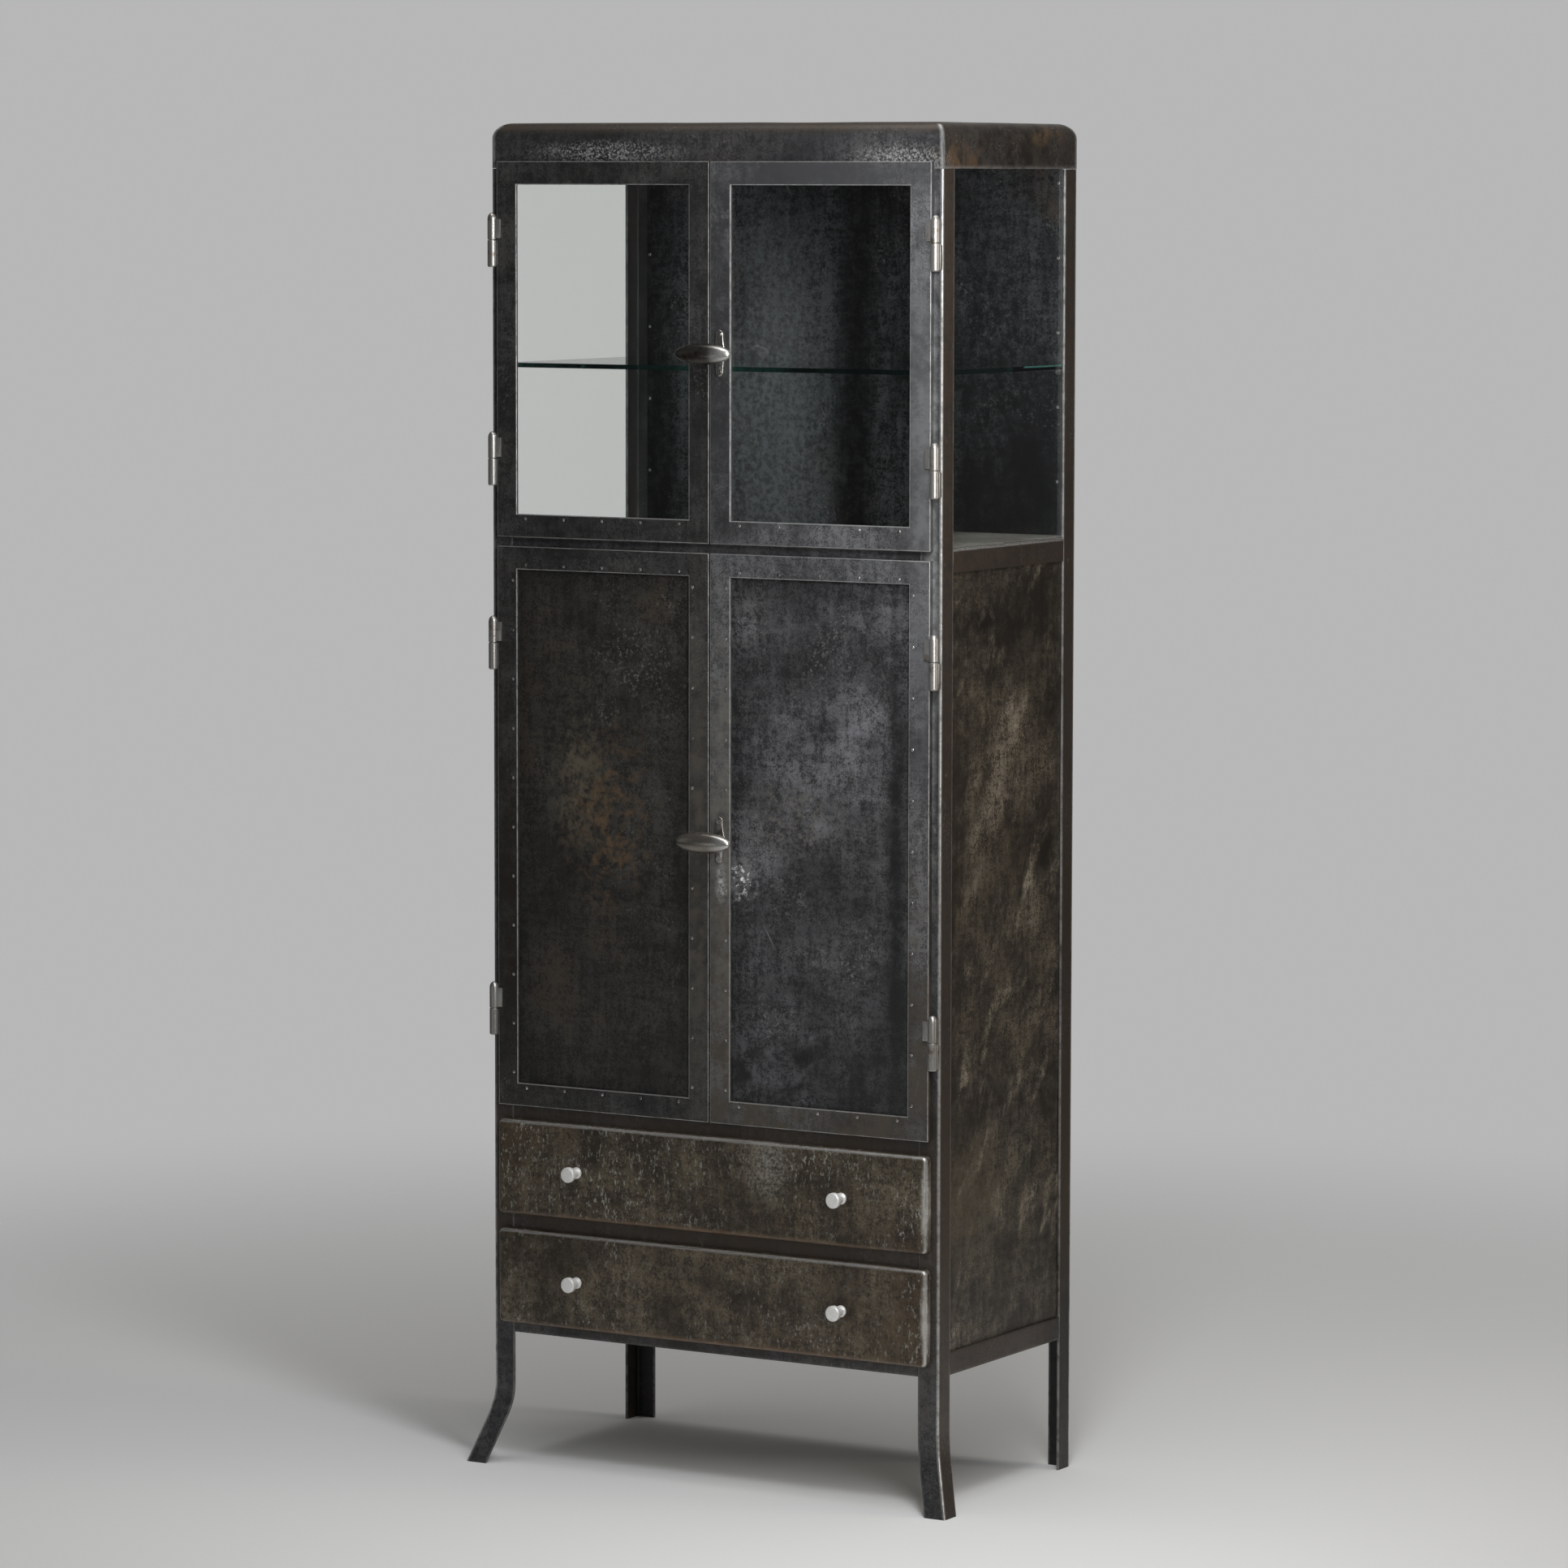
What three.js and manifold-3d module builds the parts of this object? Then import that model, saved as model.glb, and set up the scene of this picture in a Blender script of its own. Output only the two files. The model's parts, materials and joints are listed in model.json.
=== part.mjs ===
// Medicine cabinet of angle iron and sheet steel: a glazed upper cupboard, a steel lower cupboard
// and two drawers, on angle-iron legs whose front feet sweep outwards.
// Millimetres, +Z up, front towards -Y, floor at Z = 0.

import * as THREE from 'three';
import { mergeVertices } from 'three/addons/utils/BufferGeometryUtils.js';
import Module from 'manifold-3d';

const wasm = await Module();
wasm.setup();

// Overall size of the carcass
const height = 1750;
const width = 668;
const depth = 350;

// Angle iron, sheet steel and the gap left between pieces that rest on each other
const angleLeg = 30;
const angleWall = 3;
const sheetWall = 1.5;
const seat = 0.25;

// How far a cutting tool runs past the face that it opens
const overcut = 2;

// Rolled top
const panSkirt = 58;
const panRadius = 20;
const panWall = 2;
const bendSegments = 6;

// Levels up the front
const legClear = 173;
const bottomReveal = 13.5;
const drawerFrontHeight = 125;
const drawerGap = 19.5;
const doorDrawerGap = 18.5;
const lowerDoorHeight = 730.5;
const doorGap = 12;
const fascia = 49;
const doorLap = 2;

// Front feet
const footKnee = 105;
const footCurve = 45;
const footOut = 26.5;
const footForward = 29.5;
const footSteps = 6;

// Doors
const doorProud = 8.4;
const doorEdgeInset = 12;
const stileWidth = 30;
const doorPlate = 4;
const doorReturn = 3;
const leafGap = 2;
const doorGlassWall = 3;
const paneLap = 8;

// Lift-off hinges
const hingeRadius = 6;
const hingeClear = 0.5;
const hingeLift = 0.5;
const knuckleLength = 35;
const hingeDome = 8;
const hingeChamfer = 1.5;
const hingePinRadius = 3;
const hingePinLength = 22;
const hingePinPlay = 0.12;
const hingeSides = 16;
const leafReach = 7;
const leafWall = 2.5;
const leafTrim = 2;
const upperHingeInset = 101;
const lowerHingeInset = 126;

// Olive handles
const oliveLength = 82;
const oliveHeight = 27;
const oliveDepth = 23;
const oliveStandoff = 42;
const neckFootRadius = 8.5;
const neckRadius = 6;
const spindleSide = 7;
const spindleHole = 5.6;
const spindleHoleSides = 24;
const oliveRings = 14;
const oliveSides = 20;
const rosetteWall = 2.5;
const rosetteReach = 24;
const rosetteLobe = 5.5;
const rosetteHub = 10.5;
const rosetteWaist = 7.9;
const rosetteSegments = 8;
const tongueLength = 31;
const tongueWidth = 13;
const tongueWall = 3;
const tongueGap = 0.75;

// Drawers
const drawerProud = 12;
const drawerRadius = 7;
const drawerFlange = 30;
const drawerBoxClear = 3;
const drawerBackClear = 15;
const railClear = 4;
const ledgeBite = 16;
const runnerOffset = 1;
const knobSpread = 398;
const knobLength = 24;
const knobHeadRadius = 10;
const knobNeckRadius = 5.5;
const knobFootRadius = 7.5;
const knobFootRise = 4;
const knobHeadDepth = 10;
const knobEdge = 1.5;
const knobStudRadius = 2;
const knobStudLength = 5;
const knobHoleRadius = 2.4;
const knobHoleSides = 16;
const knobSides = 24;

// Glass and shelves
const sideGlassWall = 4;
const sideGlassRise = 12;
const shelfGlassWall = 6;
const glassShelfRise = 215;
const steelShelfRise = 345;
const shelfFront = 9;
const shelfLip = 18;
const studRadius = 3.5;
const studSides = 12;
const studReach = 24;
const backPanelLap = 9;
const backFlange = 16;
const paneClear = 1.5;

// Levels and planes worked out from the sizes above
const halfWidth = width / 2;
const panBottom = height - panSkirt;
const lowerDrawerZ = legClear + bottomReveal;
const upperDrawerZ = lowerDrawerZ + drawerFrontHeight + drawerGap;
const lowerDoorZ = upperDrawerZ + drawerFrontHeight + doorDrawerGap;
const upperDoorZ = lowerDoorZ + lowerDoorHeight + doorGap;
const upperDoorHeight = height - fascia - upperDoorZ;
const bottomRailTop = legClear + angleLeg;
const drawerMidRailTop = upperDrawerZ - drawerGap / 2 + angleLeg / 2;
const drawerTopRailTop = lowerDoorZ + doorLap;
const midRailTop = upperDoorZ + doorLap;
const upperFloorTop = midRailTop + seat + sheetWall;
const lowerFloorTop = drawerTopRailTop + seat + sheetWall;
const doorHalf = halfWidth - doorEdgeInset;
const doorBackY = -seat;
const plateBackY = -doorProud + doorPlate;
const hingeX = doorHalf + hingeClear + hingeRadius;
const hingeY = -doorProud - hingeLift;
const handleX = leafGap / 2 + stileWidth / 2;
const backPanelHalf = halfWidth - angleLeg + backPanelLap;
const backPanelFront = depth - angleWall - seat - sheetWall;
const sidePanelInner = halfWidth - angleWall - seat - sheetWall;
const sideGlassInner = halfWidth - angleWall - seat - sideGlassWall;
const studX = (backPanelHalf + sideGlassInner) / 2;
const postGap = halfWidth - angleLeg;
const drawerBoxHalf = postGap - drawerBoxClear;
const drawerBoxFront = 0;
const drawerBoxBack = backPanelFront - drawerBackClear;
const glassShelfZ = upperFloorTop + glassShelfRise;
const steelShelfZ = lowerFloorTop + steelShelfRise;

// Finishes
const waxedSteel = new THREE.MeshStandardMaterial({ color: 0x2e2d2d, roughness: 0.45, metalness: 0.85 });
const panelSteel = new THREE.MeshStandardMaterial({ color: 0x26272a, roughness: 0.5, metalness: 0.8 });
const drawerSteel = new THREE.MeshStandardMaterial({ color: 0x35322f, roughness: 0.5, metalness: 0.8 });
const brightSteel = new THREE.MeshStandardMaterial({ color: 0xa9a9a6, roughness: 0.3, metalness: 1 });
const bronze = new THREE.MeshStandardMaterial({ color: 0x3a332c, roughness: 0.35, metalness: 0.9 });
const aluminium = new THREE.MeshStandardMaterial({ color: 0xd0d0cc, roughness: 0.3, metalness: 1 });
const clearGlass = new THREE.MeshStandardMaterial({
  color: 0xdde6e4, roughness: 0.05, metalness: 0, transparent: true, opacity: 0.3,
});
const greenGlass = new THREE.MeshStandardMaterial({
  color: 0xa9c6bd, roughness: 0.05, metalness: 0, transparent: true, opacity: 0.4,
});

const cabinet = new THREE.Group();

function addPiece(name, geometry, material) {
  const mesh = new THREE.Mesh(geometry, material);
  mesh.name = name;
  cabinet.add(mesh);
  return mesh;
}

// Joining and cutting of closed meshes

function toSolid(geometry) {
  const bare = geometry.index ? geometry.toNonIndexed() : geometry.clone();
  bare.deleteAttribute('normal');
  bare.deleteAttribute('uv');
  const merged = mergeVertices(bare, 1e-4);
  const vertProperties = new Float32Array(merged.attributes.position.array);
  const triVerts = new Uint32Array(merged.index.array);
  return new wasm.Manifold(new wasm.Mesh({ numProp: 3, vertProperties, triVerts }));
}

function toGeometry(solid) {
  const { vertProperties, triVerts } = solid.getMesh();
  const geometry = new THREE.BufferGeometry();
  geometry.setAttribute('position', new THREE.BufferAttribute(new Float32Array(vertProperties), 3));
  geometry.setIndex(new THREE.BufferAttribute(new Uint32Array(triVerts), 1));
  geometry.computeVertexNormals();
  return geometry;
}

function joined(...pieces) {
  return toGeometry(pieces.map(toSolid).reduce((all, next) => all.add(next)));
}

function cut(body, ...tools) {
  return toGeometry(tools.map(toSolid).reduce((rest, tool) => rest.subtract(tool), toSolid(body)));
}

function common(first, second) {
  return toGeometry(toSolid(first).intersect(toSolid(second)));
}

// Basic forms

function block(low, high) {
  const size = high.map((value, axis) => value - low[axis]);
  const geometry = new THREE.BoxGeometry(...size);
  return geometry.translate(...low.map((value, axis) => value + size[axis] / 2));
}

function rod(radius, from, to, sides) {
  const length = from.distanceTo(to);
  const geometry = new THREE.CylinderGeometry(radius, radius, length, sides);
  const along = to.clone().sub(from).normalize();
  geometry.applyQuaternion(new THREE.Quaternion().setFromUnitVectors(new THREE.Vector3(0, 1, 0), along));
  const middle = from.clone().add(to).multiplyScalar(0.5);
  return geometry.translate(middle.x, middle.y, middle.z);
}

function outline(points) {
  return new THREE.Shape(points.map(([x, y]) => new THREE.Vector2(x, y)));
}

// Angle section with its outer corner at (x, y) and its legs running the way of inX and inY
function angleSection(x, y, inX, inY) {
  const corners = [
    [0, 0], [angleLeg, 0], [angleLeg, angleWall],
    [angleWall, angleWall], [angleWall, angleLeg], [0, angleLeg],
  ];
  return outline(corners.map(([across, along]) => [x + inX * across, y + inY * along]));
}

// A section carried up through stations, each with its level and its sideways shift
function carried(section, stations) {
  const steps = stations.length - 1;
  const geometry = new THREE.ExtrudeGeometry(section, { depth: steps, steps, bevelEnabled: false });
  const position = geometry.attributes.position;
  for (let i = 0; i < position.count; i += 1) {
    const station = stations[Math.round(position.getZ(i))];
    position.setXYZ(i, position.getX(i) + station.dx, position.getY(i) + station.dy, station.z);
  }
  return geometry;
}

// A section in the YZ plane run along X, and one in the XZ plane run along Y
function runAlongX(section, from, to) {
  const geometry = new THREE.ExtrudeGeometry(section, { depth: to - from, bevelEnabled: false });
  geometry.rotateX(Math.PI / 2).rotateZ(Math.PI / 2);
  return geometry.translate(from, 0, 0);
}

function runAlongY(section, from, to) {
  const geometry = new THREE.ExtrudeGeometry(section, { depth: to - from, bevelEnabled: false });
  geometry.rotateX(Math.PI / 2);
  return geometry.translate(0, to, 0);
}

// A solid with a flat base and rounded upper edges, which meet in mitres at its corners
function archedBlock(length, breadth, top, round) {
  const arch = (span) => {
    const shape = new THREE.Shape();
    shape.moveTo(-span / 2, 0);
    shape.lineTo(span / 2, 0);
    shape.lineTo(span / 2, top - round);
    shape.absarc(span / 2 - round, top - round, round, 0, Math.PI / 2, false);
    shape.lineTo(-span / 2 + round, top);
    shape.absarc(-span / 2 + round, top - round, round, Math.PI / 2, Math.PI, false);
    return shape;
  };
  const bend = { bevelEnabled: false, curveSegments: bendSegments };
  const across = new THREE.ExtrudeGeometry(arch(length), { ...bend, depth: breadth });
  across.rotateX(Math.PI / 2).translate(0, breadth / 2, 0);
  const along = new THREE.ExtrudeGeometry(arch(breadth), { ...bend, depth: length });
  along.rotateX(Math.PI / 2).rotateZ(Math.PI / 2).translate(-length / 2, 0, 0);
  return common(across, along);
}

// A pressed sheet pan, open below
function pressedPan(length, breadth, rise, radius, wall) {
  const outer = archedBlock(length, breadth, rise, radius);
  const hollow = archedBlock(length - 2 * wall, breadth - 2 * wall, rise - wall + overcut, radius - wall);
  return cut(outer, hollow.translate(0, 0, -overcut));
}

// Posts: rear ones straight, front ones with a foot that sweeps out and forward

function footSwing(z) {
  const straight = footKnee - footCurve;
  const total = straight + footCurve / 2;
  if (z >= footKnee) return 0;
  if (z >= straight) return (footKnee - z) ** 2 / (2 * footCurve) / total;
  return (footCurve / 2 + straight - z) / total;
}

function postStations(side, isFront) {
  const top = { z: panBottom - seat, dx: 0, dy: 0 };
  if (!isFront) return [{ z: 0, dx: 0, dy: 0 }, top];
  const levels = [0];
  for (let step = 0; step <= footSteps; step += 1) {
    levels.push(footKnee - footCurve + (footCurve * step) / footSteps);
  }
  const swept = levels.map((z) => {
    const swing = footSwing(z);
    return { z, dx: side * footOut * swing, dy: -footForward * swing };
  });
  return [...swept, top];
}

function shelfStud(side, isFront, z) {
  const inside = isFront ? angleWall : depth - angleWall;
  const inward = isFront ? 1 : -1;
  const root = new THREE.Vector3(side * studX, inside - inward * (angleWall / 2), z);
  const tip = new THREE.Vector3(side * studX, inside + inward * studReach, z);
  return rod(studRadius, root, tip, studSides);
}

function addPost(side, isFront) {
  const cornerY = isFront ? 0 : depth;
  const section = angleSection(side * halfWidth, cornerY, -side, isFront ? 1 : -1);
  const bar = carried(section, postStations(side, isFront));
  const studs = [glassShelfZ, steelShelfZ].map((z) => shelfStud(side, isFront, z - seat - studRadius));
  const name = `post_${isFront ? 'front' : 'rear'}_${side < 0 ? 'left' : 'right'}`;
  addPiece(name, joined(bar, ...studs), waxedSteel);
}

for (const side of [-1, 1]) {
  addPost(side, true);
  addPost(side, false);
}

const topPan = addPiece('top_pan', pressedPan(width, depth, panSkirt, panRadius, panWall), waxedSteel);
topPan.position.set(0, depth / 2, panBottom);

// Rails between the posts: the upper three carry their flat leg on top, the lowest below

function addFrontRail(name, top, legUp) {
  const corner = legUp ? top - angleLeg : top;
  const section = angleSection(0, corner, 1, legUp ? 1 : -1);
  addPiece(name, runAlongX(section, -postGap + seat, postGap - seat), waxedSteel);
}

function addSideRail(name, side, top, legUp) {
  const corner = legUp ? top - angleLeg : top;
  const section = angleSection(side * halfWidth, corner, -side, legUp ? 1 : -1);
  addPiece(name, runAlongY(section, angleLeg + seat, depth - angleLeg - seat), waxedSteel);
}

addFrontRail('mid_rail', midRailTop, false);
addFrontRail('drawer_top_rail', drawerTopRailTop, false);
addFrontRail('drawer_mid_rail', drawerMidRailTop, false);
addFrontRail('bottom_rail', bottomRailTop, true);
for (const side of [-1, 1]) {
  const hand = side < 0 ? 'left' : 'right';
  addSideRail(`side_rail_mid_${hand}`, side, midRailTop, false);
  addSideRail(`side_rail_bottom_${hand}`, side, bottomRailTop, true);
}

// Back, sides and floors

const backOutline = outline([
  [backPanelFront + sheetWall, legClear],
  [backPanelFront + sheetWall, panBottom + sideGlassRise],
  [backPanelFront, panBottom + sideGlassRise],
  [backPanelFront, legClear + sheetWall],
  [backPanelFront - backFlange, legClear + sheetWall],
  [backPanelFront - backFlange, legClear],
]);
addPiece('back_panel', runAlongX(backOutline, -backPanelHalf, backPanelHalf), panelSteel);

function addSideSheet(name, side, inner, wall, bottom, top, material) {
  const faces = [side * inner, side * (inner + wall)].sort((a, b) => a - b);
  const front = angleWall + paneClear;
  const back = depth - angleWall - paneClear;
  addPiece(name, block([faces[0], front, bottom], [faces[1], back, top]), material);
}

for (const side of [-1, 1]) {
  const hand = side < 0 ? 'left' : 'right';
  const panelBottom = legClear + angleWall + seat;
  const panelTop = midRailTop - angleWall - seat;
  addSideSheet(`side_panel_${hand}`, side, sidePanelInner, sheetWall, panelBottom, panelTop, panelSteel);
  const glassTop = panBottom + sideGlassRise;
  const glassBottom = midRailTop + seat;
  addSideSheet(`side_glass_${hand}`, side, sideGlassInner, sideGlassWall, glassBottom, glassTop, clearGlass);
}

function addFloor(name, half, top) {
  const low = [-half, angleWall + seat, top - sheetWall];
  addPiece(name, block(low, [half, backPanelFront - seat, top]), panelSteel);
}

addFloor('upper_floor', sideGlassInner - paneClear, upperFloorTop);
addFloor('lower_floor', sidePanelInner - seat, lowerFloorTop);

// Shelves on the studs of the posts

const shelfBack = backPanelFront - paneClear;
const glassShelfHalf = sideGlassInner - paneClear;
const glassShelfHigh = [glassShelfHalf, shelfBack, glassShelfZ + shelfGlassWall];
addPiece('glass_shelf', block([-glassShelfHalf, shelfFront, glassShelfZ], glassShelfHigh), greenGlass);

function steelShelf() {
  const half = sidePanelInner - paneClear;
  const plate = block([-half, shelfFront, steelShelfZ], [half, shelfBack, steelShelfZ + sheetWall]);
  const lipHigh = [postGap, shelfFront + sheetWall, steelShelfZ + sheetWall];
  return joined(plate, block([-postGap, shelfFront, steelShelfZ - shelfLip], lipHigh));
}

addPiece('steel_shelf', steelShelf(), panelSteel);

// Drawer runners: one upright plate a side, with a ledge under each drawer

function drawerSpace(level) {
  const isUpper = level === 'upper';
  const below = isUpper ? drawerMidRailTop : bottomRailTop;
  const above = (isUpper ? drawerTopRailTop : drawerMidRailTop) - angleLeg;
  return { bottom: below + railClear, top: above - railClear };
}

function drawerRunner(side) {
  const inner = postGap + runnerOffset;
  const spanX = (from, to) => [side * from, side * to].sort((a, b) => a - b);
  const front = angleWall + seat;
  const back = backPanelFront - seat;
  const [plateLow, plateHigh] = spanX(inner, inner + sheetWall);
  const lowest = drawerSpace('lower').bottom - seat - sheetWall;
  const plate = block([plateLow, front, lowest], [plateHigh, back, drawerTopRailTop]);
  const ledges = ['upper', 'lower'].map((level) => {
    const [low, high] = spanX(drawerBoxHalf - ledgeBite, inner + sheetWall);
    const ledgeTop = drawerSpace(level).bottom - seat;
    return block([low, front, ledgeTop - sheetWall], [high, back, ledgeTop]);
  });
  return joined(plate, ...ledges);
}

addPiece('drawer_runner_left', drawerRunner(-1), panelSteel);
addPiece('drawer_runner_right', drawerRunner(1), panelSteel);

// Doors: an angle-edged frame with a pane set behind its front plate

function doorSpan(side) {
  const edges = [side * leafGap / 2, side * doorHalf].sort((a, b) => a - b);
  return { low: edges[0], high: edges[1] };
}

function doorFrame(side, bottom, top, hasSpindle) {
  const { low, high } = doorSpan(side);
  const body = block([low, -doorProud, bottom], [high, doorBackY, top]);
  const pocketLow = [low + doorReturn, plateBackY, bottom + doorReturn];
  const pocket = block(pocketLow, [high - doorReturn, overcut, top - doorReturn]);
  const openingLow = [low + stileWidth, -doorProud - overcut, bottom + stileWidth];
  const opening = block(openingLow, [high - stileWidth, overcut, top - stileWidth]);
  if (!hasSpindle) return cut(body, pocket, opening);
  const middle = (bottom + top) / 2;
  const outside = new THREE.Vector3(handleX, -doorProud - overcut, middle);
  const inside = new THREE.Vector3(handleX, overcut, middle);
  const bore = rod(spindleHole, outside, inside, spindleHoleSides);
  return cut(body, pocket, opening, bore);
}

function doorPane(side, bottom, top, wall) {
  const { low, high } = doorSpan(side);
  const inset = stileWidth - paneLap;
  const front = plateBackY + seat;
  return block([low + inset, front, bottom + inset], [high - inset, front + wall, top - inset]);
}

function addDoor(level, side, bottom, doorHeight) {
  const hand = side < 0 ? 'left' : 'right';
  const top = bottom + doorHeight;
  addPiece(`door_frame_${level}_${hand}`, doorFrame(side, bottom, top, side > 0), waxedSteel);
  const glazed = level === 'upper';
  const pane = doorPane(side, bottom, top, glazed ? doorGlassWall : sheetWall);
  addPiece(`door_${glazed ? 'glass' : 'panel'}_${hand}`, pane, glazed ? clearGlass : panelSteel);
}

// Lift-off hinges: a pin half welded to the post and a socket half welded to the door

function turned(points) {
  const profile = points.map(([radius, along]) => new THREE.Vector2(radius, along));
  return new THREE.LatheGeometry(profile, hingeSides).rotateX(Math.PI / 2);
}

function hingePinHalf(side) {
  const knuckle = turned([
    [0, -knuckleLength],
    [hingeRadius - hingeChamfer, -knuckleLength],
    [hingeRadius, -knuckleLength + hingeChamfer],
    [hingeRadius, 0],
    [hingePinRadius, 0],
    [hingePinRadius, hingePinLength - hingeChamfer],
    [hingePinRadius - hingeChamfer, hingePinLength],
    [0, hingePinLength],
  ]);
  const edges = [side * -hingePinRadius, side * (halfWidth - hingeX)].sort((a, b) => a - b);
  const low = [edges[0], hingePinRadius, -knuckleLength + leafTrim];
  const leaf = block(low, [edges[1], -hingeY - seat, -leafTrim]);
  return joined(knuckle, leaf);
}

function hingeSocketHalf(side) {
  const bore = (hingePinRadius + hingePinPlay) / Math.cos(Math.PI / hingeSides);
  const shoulder = knuckleLength - hingeDome;
  const domeStep = (turn) => [hingeRadius * Math.cos(turn), shoulder + hingeDome * Math.sin(turn)];
  const knuckle = turned([
    [0, hingePinLength + seat],
    [bore, hingePinLength + seat],
    [bore, seat],
    [hingeRadius, seat],
    [hingeRadius, shoulder],
    domeStep(Math.PI / 6),
    domeStep(Math.PI / 3),
    [0, knuckleLength],
  ]);
  const onDoor = hingeX - doorHalf + leafReach;
  const edges = [side * -onDoor, side * -(hingeRadius + bore) / 2].sort((a, b) => a - b);
  const back = hingeLift - seat;
  const leaf = block([edges[0], back - leafWall, seat + leafTrim], [edges[1], back, shoulder]);
  return joined(knuckle, leaf);
}

function addHinges(level, side, bottom, doorHeight, inset) {
  const hand = side < 0 ? 'left' : 'right';
  const places = { top: bottom + doorHeight - inset, bottom: bottom + inset };
  for (const [place, z] of Object.entries(places)) {
    const pin = addPiece(`hinge_pin_${level}_${hand}_${place}`, hingePinHalf(side), brightSteel);
    const socket = addPiece(`hinge_socket_${level}_${hand}_${place}`, hingeSocketHalf(side), brightSteel);
    pin.position.set(side * hingeX, hingeY, z);
    socket.position.set(side * hingeX, hingeY, z);
  }
}

// Olive handle: egg-shaped grip on a waisted neck, with its square spindle and its locking tongue

function oliveHandle() {
  const grip = [];
  for (let step = 0; step <= oliveRings; step += 1) {
    const turn = Math.PI * (step / oliveRings - 0.5);
    grip.push(new THREE.Vector2(Math.max(0, Math.cos(turn)), Math.sin(turn)));
  }
  grip[0].x = 0;
  grip[oliveRings].x = 0;
  const olive = new THREE.LatheGeometry(grip, oliveSides).rotateZ(Math.PI / 2);
  olive.scale(oliveLength / 2, oliveDepth / 2, oliveHeight / 2);
  olive.translate(0, -doorProud - oliveStandoff, 0);
  const footY = doorProud + rosetteWall + 2 * seat;
  const neck = new THREE.LatheGeometry([
    new THREE.Vector2(0, footY),
    new THREE.Vector2(neckFootRadius, footY),
    new THREE.Vector2(neckFootRadius, footY + rosetteWall),
    new THREE.Vector2(neckRadius, footY + 3 * rosetteWall),
    new THREE.Vector2(neckRadius, doorProud + oliveStandoff - oliveDepth / 2),
    new THREE.Vector2(neckFootRadius, doorProud + oliveStandoff - oliveDepth / 4),
    new THREE.Vector2(0, doorProud + oliveStandoff),
  ], oliveSides).rotateX(Math.PI);
  const half = spindleSide / 2;
  const tongueBack = tongueGap + tongueWall;
  const spindle = block([-half, -footY - rosetteWall, -half], [half, tongueBack, half]);
  const lower = tongueWidth / 2;
  const tongue = block([-lower, tongueGap, -lower], [lower, tongueBack, tongueLength]);
  return joined(olive, neck, spindle, tongue);
}

function rosettePlate() {
  const plate = new THREE.Shape();
  plate.moveTo(rosetteLobe, rosetteReach);
  plate.absarc(0, rosetteReach, rosetteLobe, 0, Math.PI, false);
  plate.quadraticCurveTo(-rosetteLobe, rosetteWaist, -rosetteHub, 0);
  plate.quadraticCurveTo(-rosetteLobe, -rosetteWaist, -rosetteLobe, -rosetteReach);
  plate.absarc(0, -rosetteReach, rosetteLobe, Math.PI, 2 * Math.PI, false);
  plate.quadraticCurveTo(rosetteLobe, -rosetteWaist, rosetteHub, 0);
  plate.quadraticCurveTo(rosetteLobe, rosetteWaist, rosetteLobe, rosetteReach);
  const hole = new THREE.Path();
  hole.absarc(0, 0, spindleHole, 0, 2 * Math.PI, true);
  plate.holes.push(hole);
  const flat = { bevelEnabled: false, curveSegments: rosetteSegments };
  return new THREE.ExtrudeGeometry(plate, { ...flat, depth: rosetteWall });
}

function addHandle(level, z) {
  const rosette = addPiece(`rosette_${level}`, rosettePlate(), brightSteel);
  rosette.rotation.x = Math.PI / 2;
  rosette.position.set(handleX, -doorProud - seat, z);
  const olive = addPiece(`olive_${level}`, oliveHandle(), bronze);
  olive.position.set(handleX, 0, z);
}

for (const side of [-1, 1]) {
  addDoor('upper', side, upperDoorZ, upperDoorHeight);
  addDoor('lower', side, lowerDoorZ, lowerDoorHeight);
  addHinges('upper', side, upperDoorZ, upperDoorHeight, upperHingeInset);
  addHinges('lower', side, lowerDoorZ, lowerDoorHeight, lowerHingeInset);
}
addHandle('upper', upperDoorZ + upperDoorHeight / 2);
addHandle('lower', lowerDoorZ + lowerDoorHeight / 2);

// Drawers: an open sheet tray welded to the turned-in flanges of a pressed front, with two turned knobs

function drawerTray(level) {
  const { bottom, top } = drawerSpace(level);
  const body = block([-drawerBoxHalf, drawerBoxFront, bottom], [drawerBoxHalf, drawerBoxBack, top]);
  const innerHalf = drawerBoxHalf - sheetWall;
  const innerLow = [-innerHalf, drawerBoxFront + sheetWall, bottom + sheetWall];
  return cut(body, block(innerLow, [innerHalf, drawerBoxBack - sheetWall, top + overcut]));
}

function knobStudHole(x, z) {
  const outside = new THREE.Vector3(x, -drawerProud - overcut, z);
  const inside = new THREE.Vector3(x, -drawerProud + sheetWall + overcut, z);
  return rod(knobHoleRadius, outside, inside, knobHoleSides);
}

function drawerFront() {
  const length = 2 * doorHalf;
  const rise = drawerProud - seat;
  const bend = drawerRadius - sheetWall;
  const outer = archedBlock(length, drawerFrontHeight, rise, drawerRadius);
  const inner = [length, drawerFrontHeight, rise].map((size) => size - 2 * sheetWall);
  const hollow = archedBlock(...inner, bend);
  const halfGap = [length / 2 - drawerFlange, drawerFrontHeight / 2 - drawerFlange];
  const gap = block([-halfGap[0], -halfGap[1], -overcut], [halfGap[0], halfGap[1], rise / 2]);
  const pan = cut(outer, hollow.translate(0, 0, sheetWall), gap);
  const front = pan.rotateX(Math.PI / 2).translate(0, -seat, 0);
  const holes = [-1, 1].map((side) => knobStudHole((side * knobSpread) / 2, 0));
  return cut(front, ...holes);
}

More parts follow.
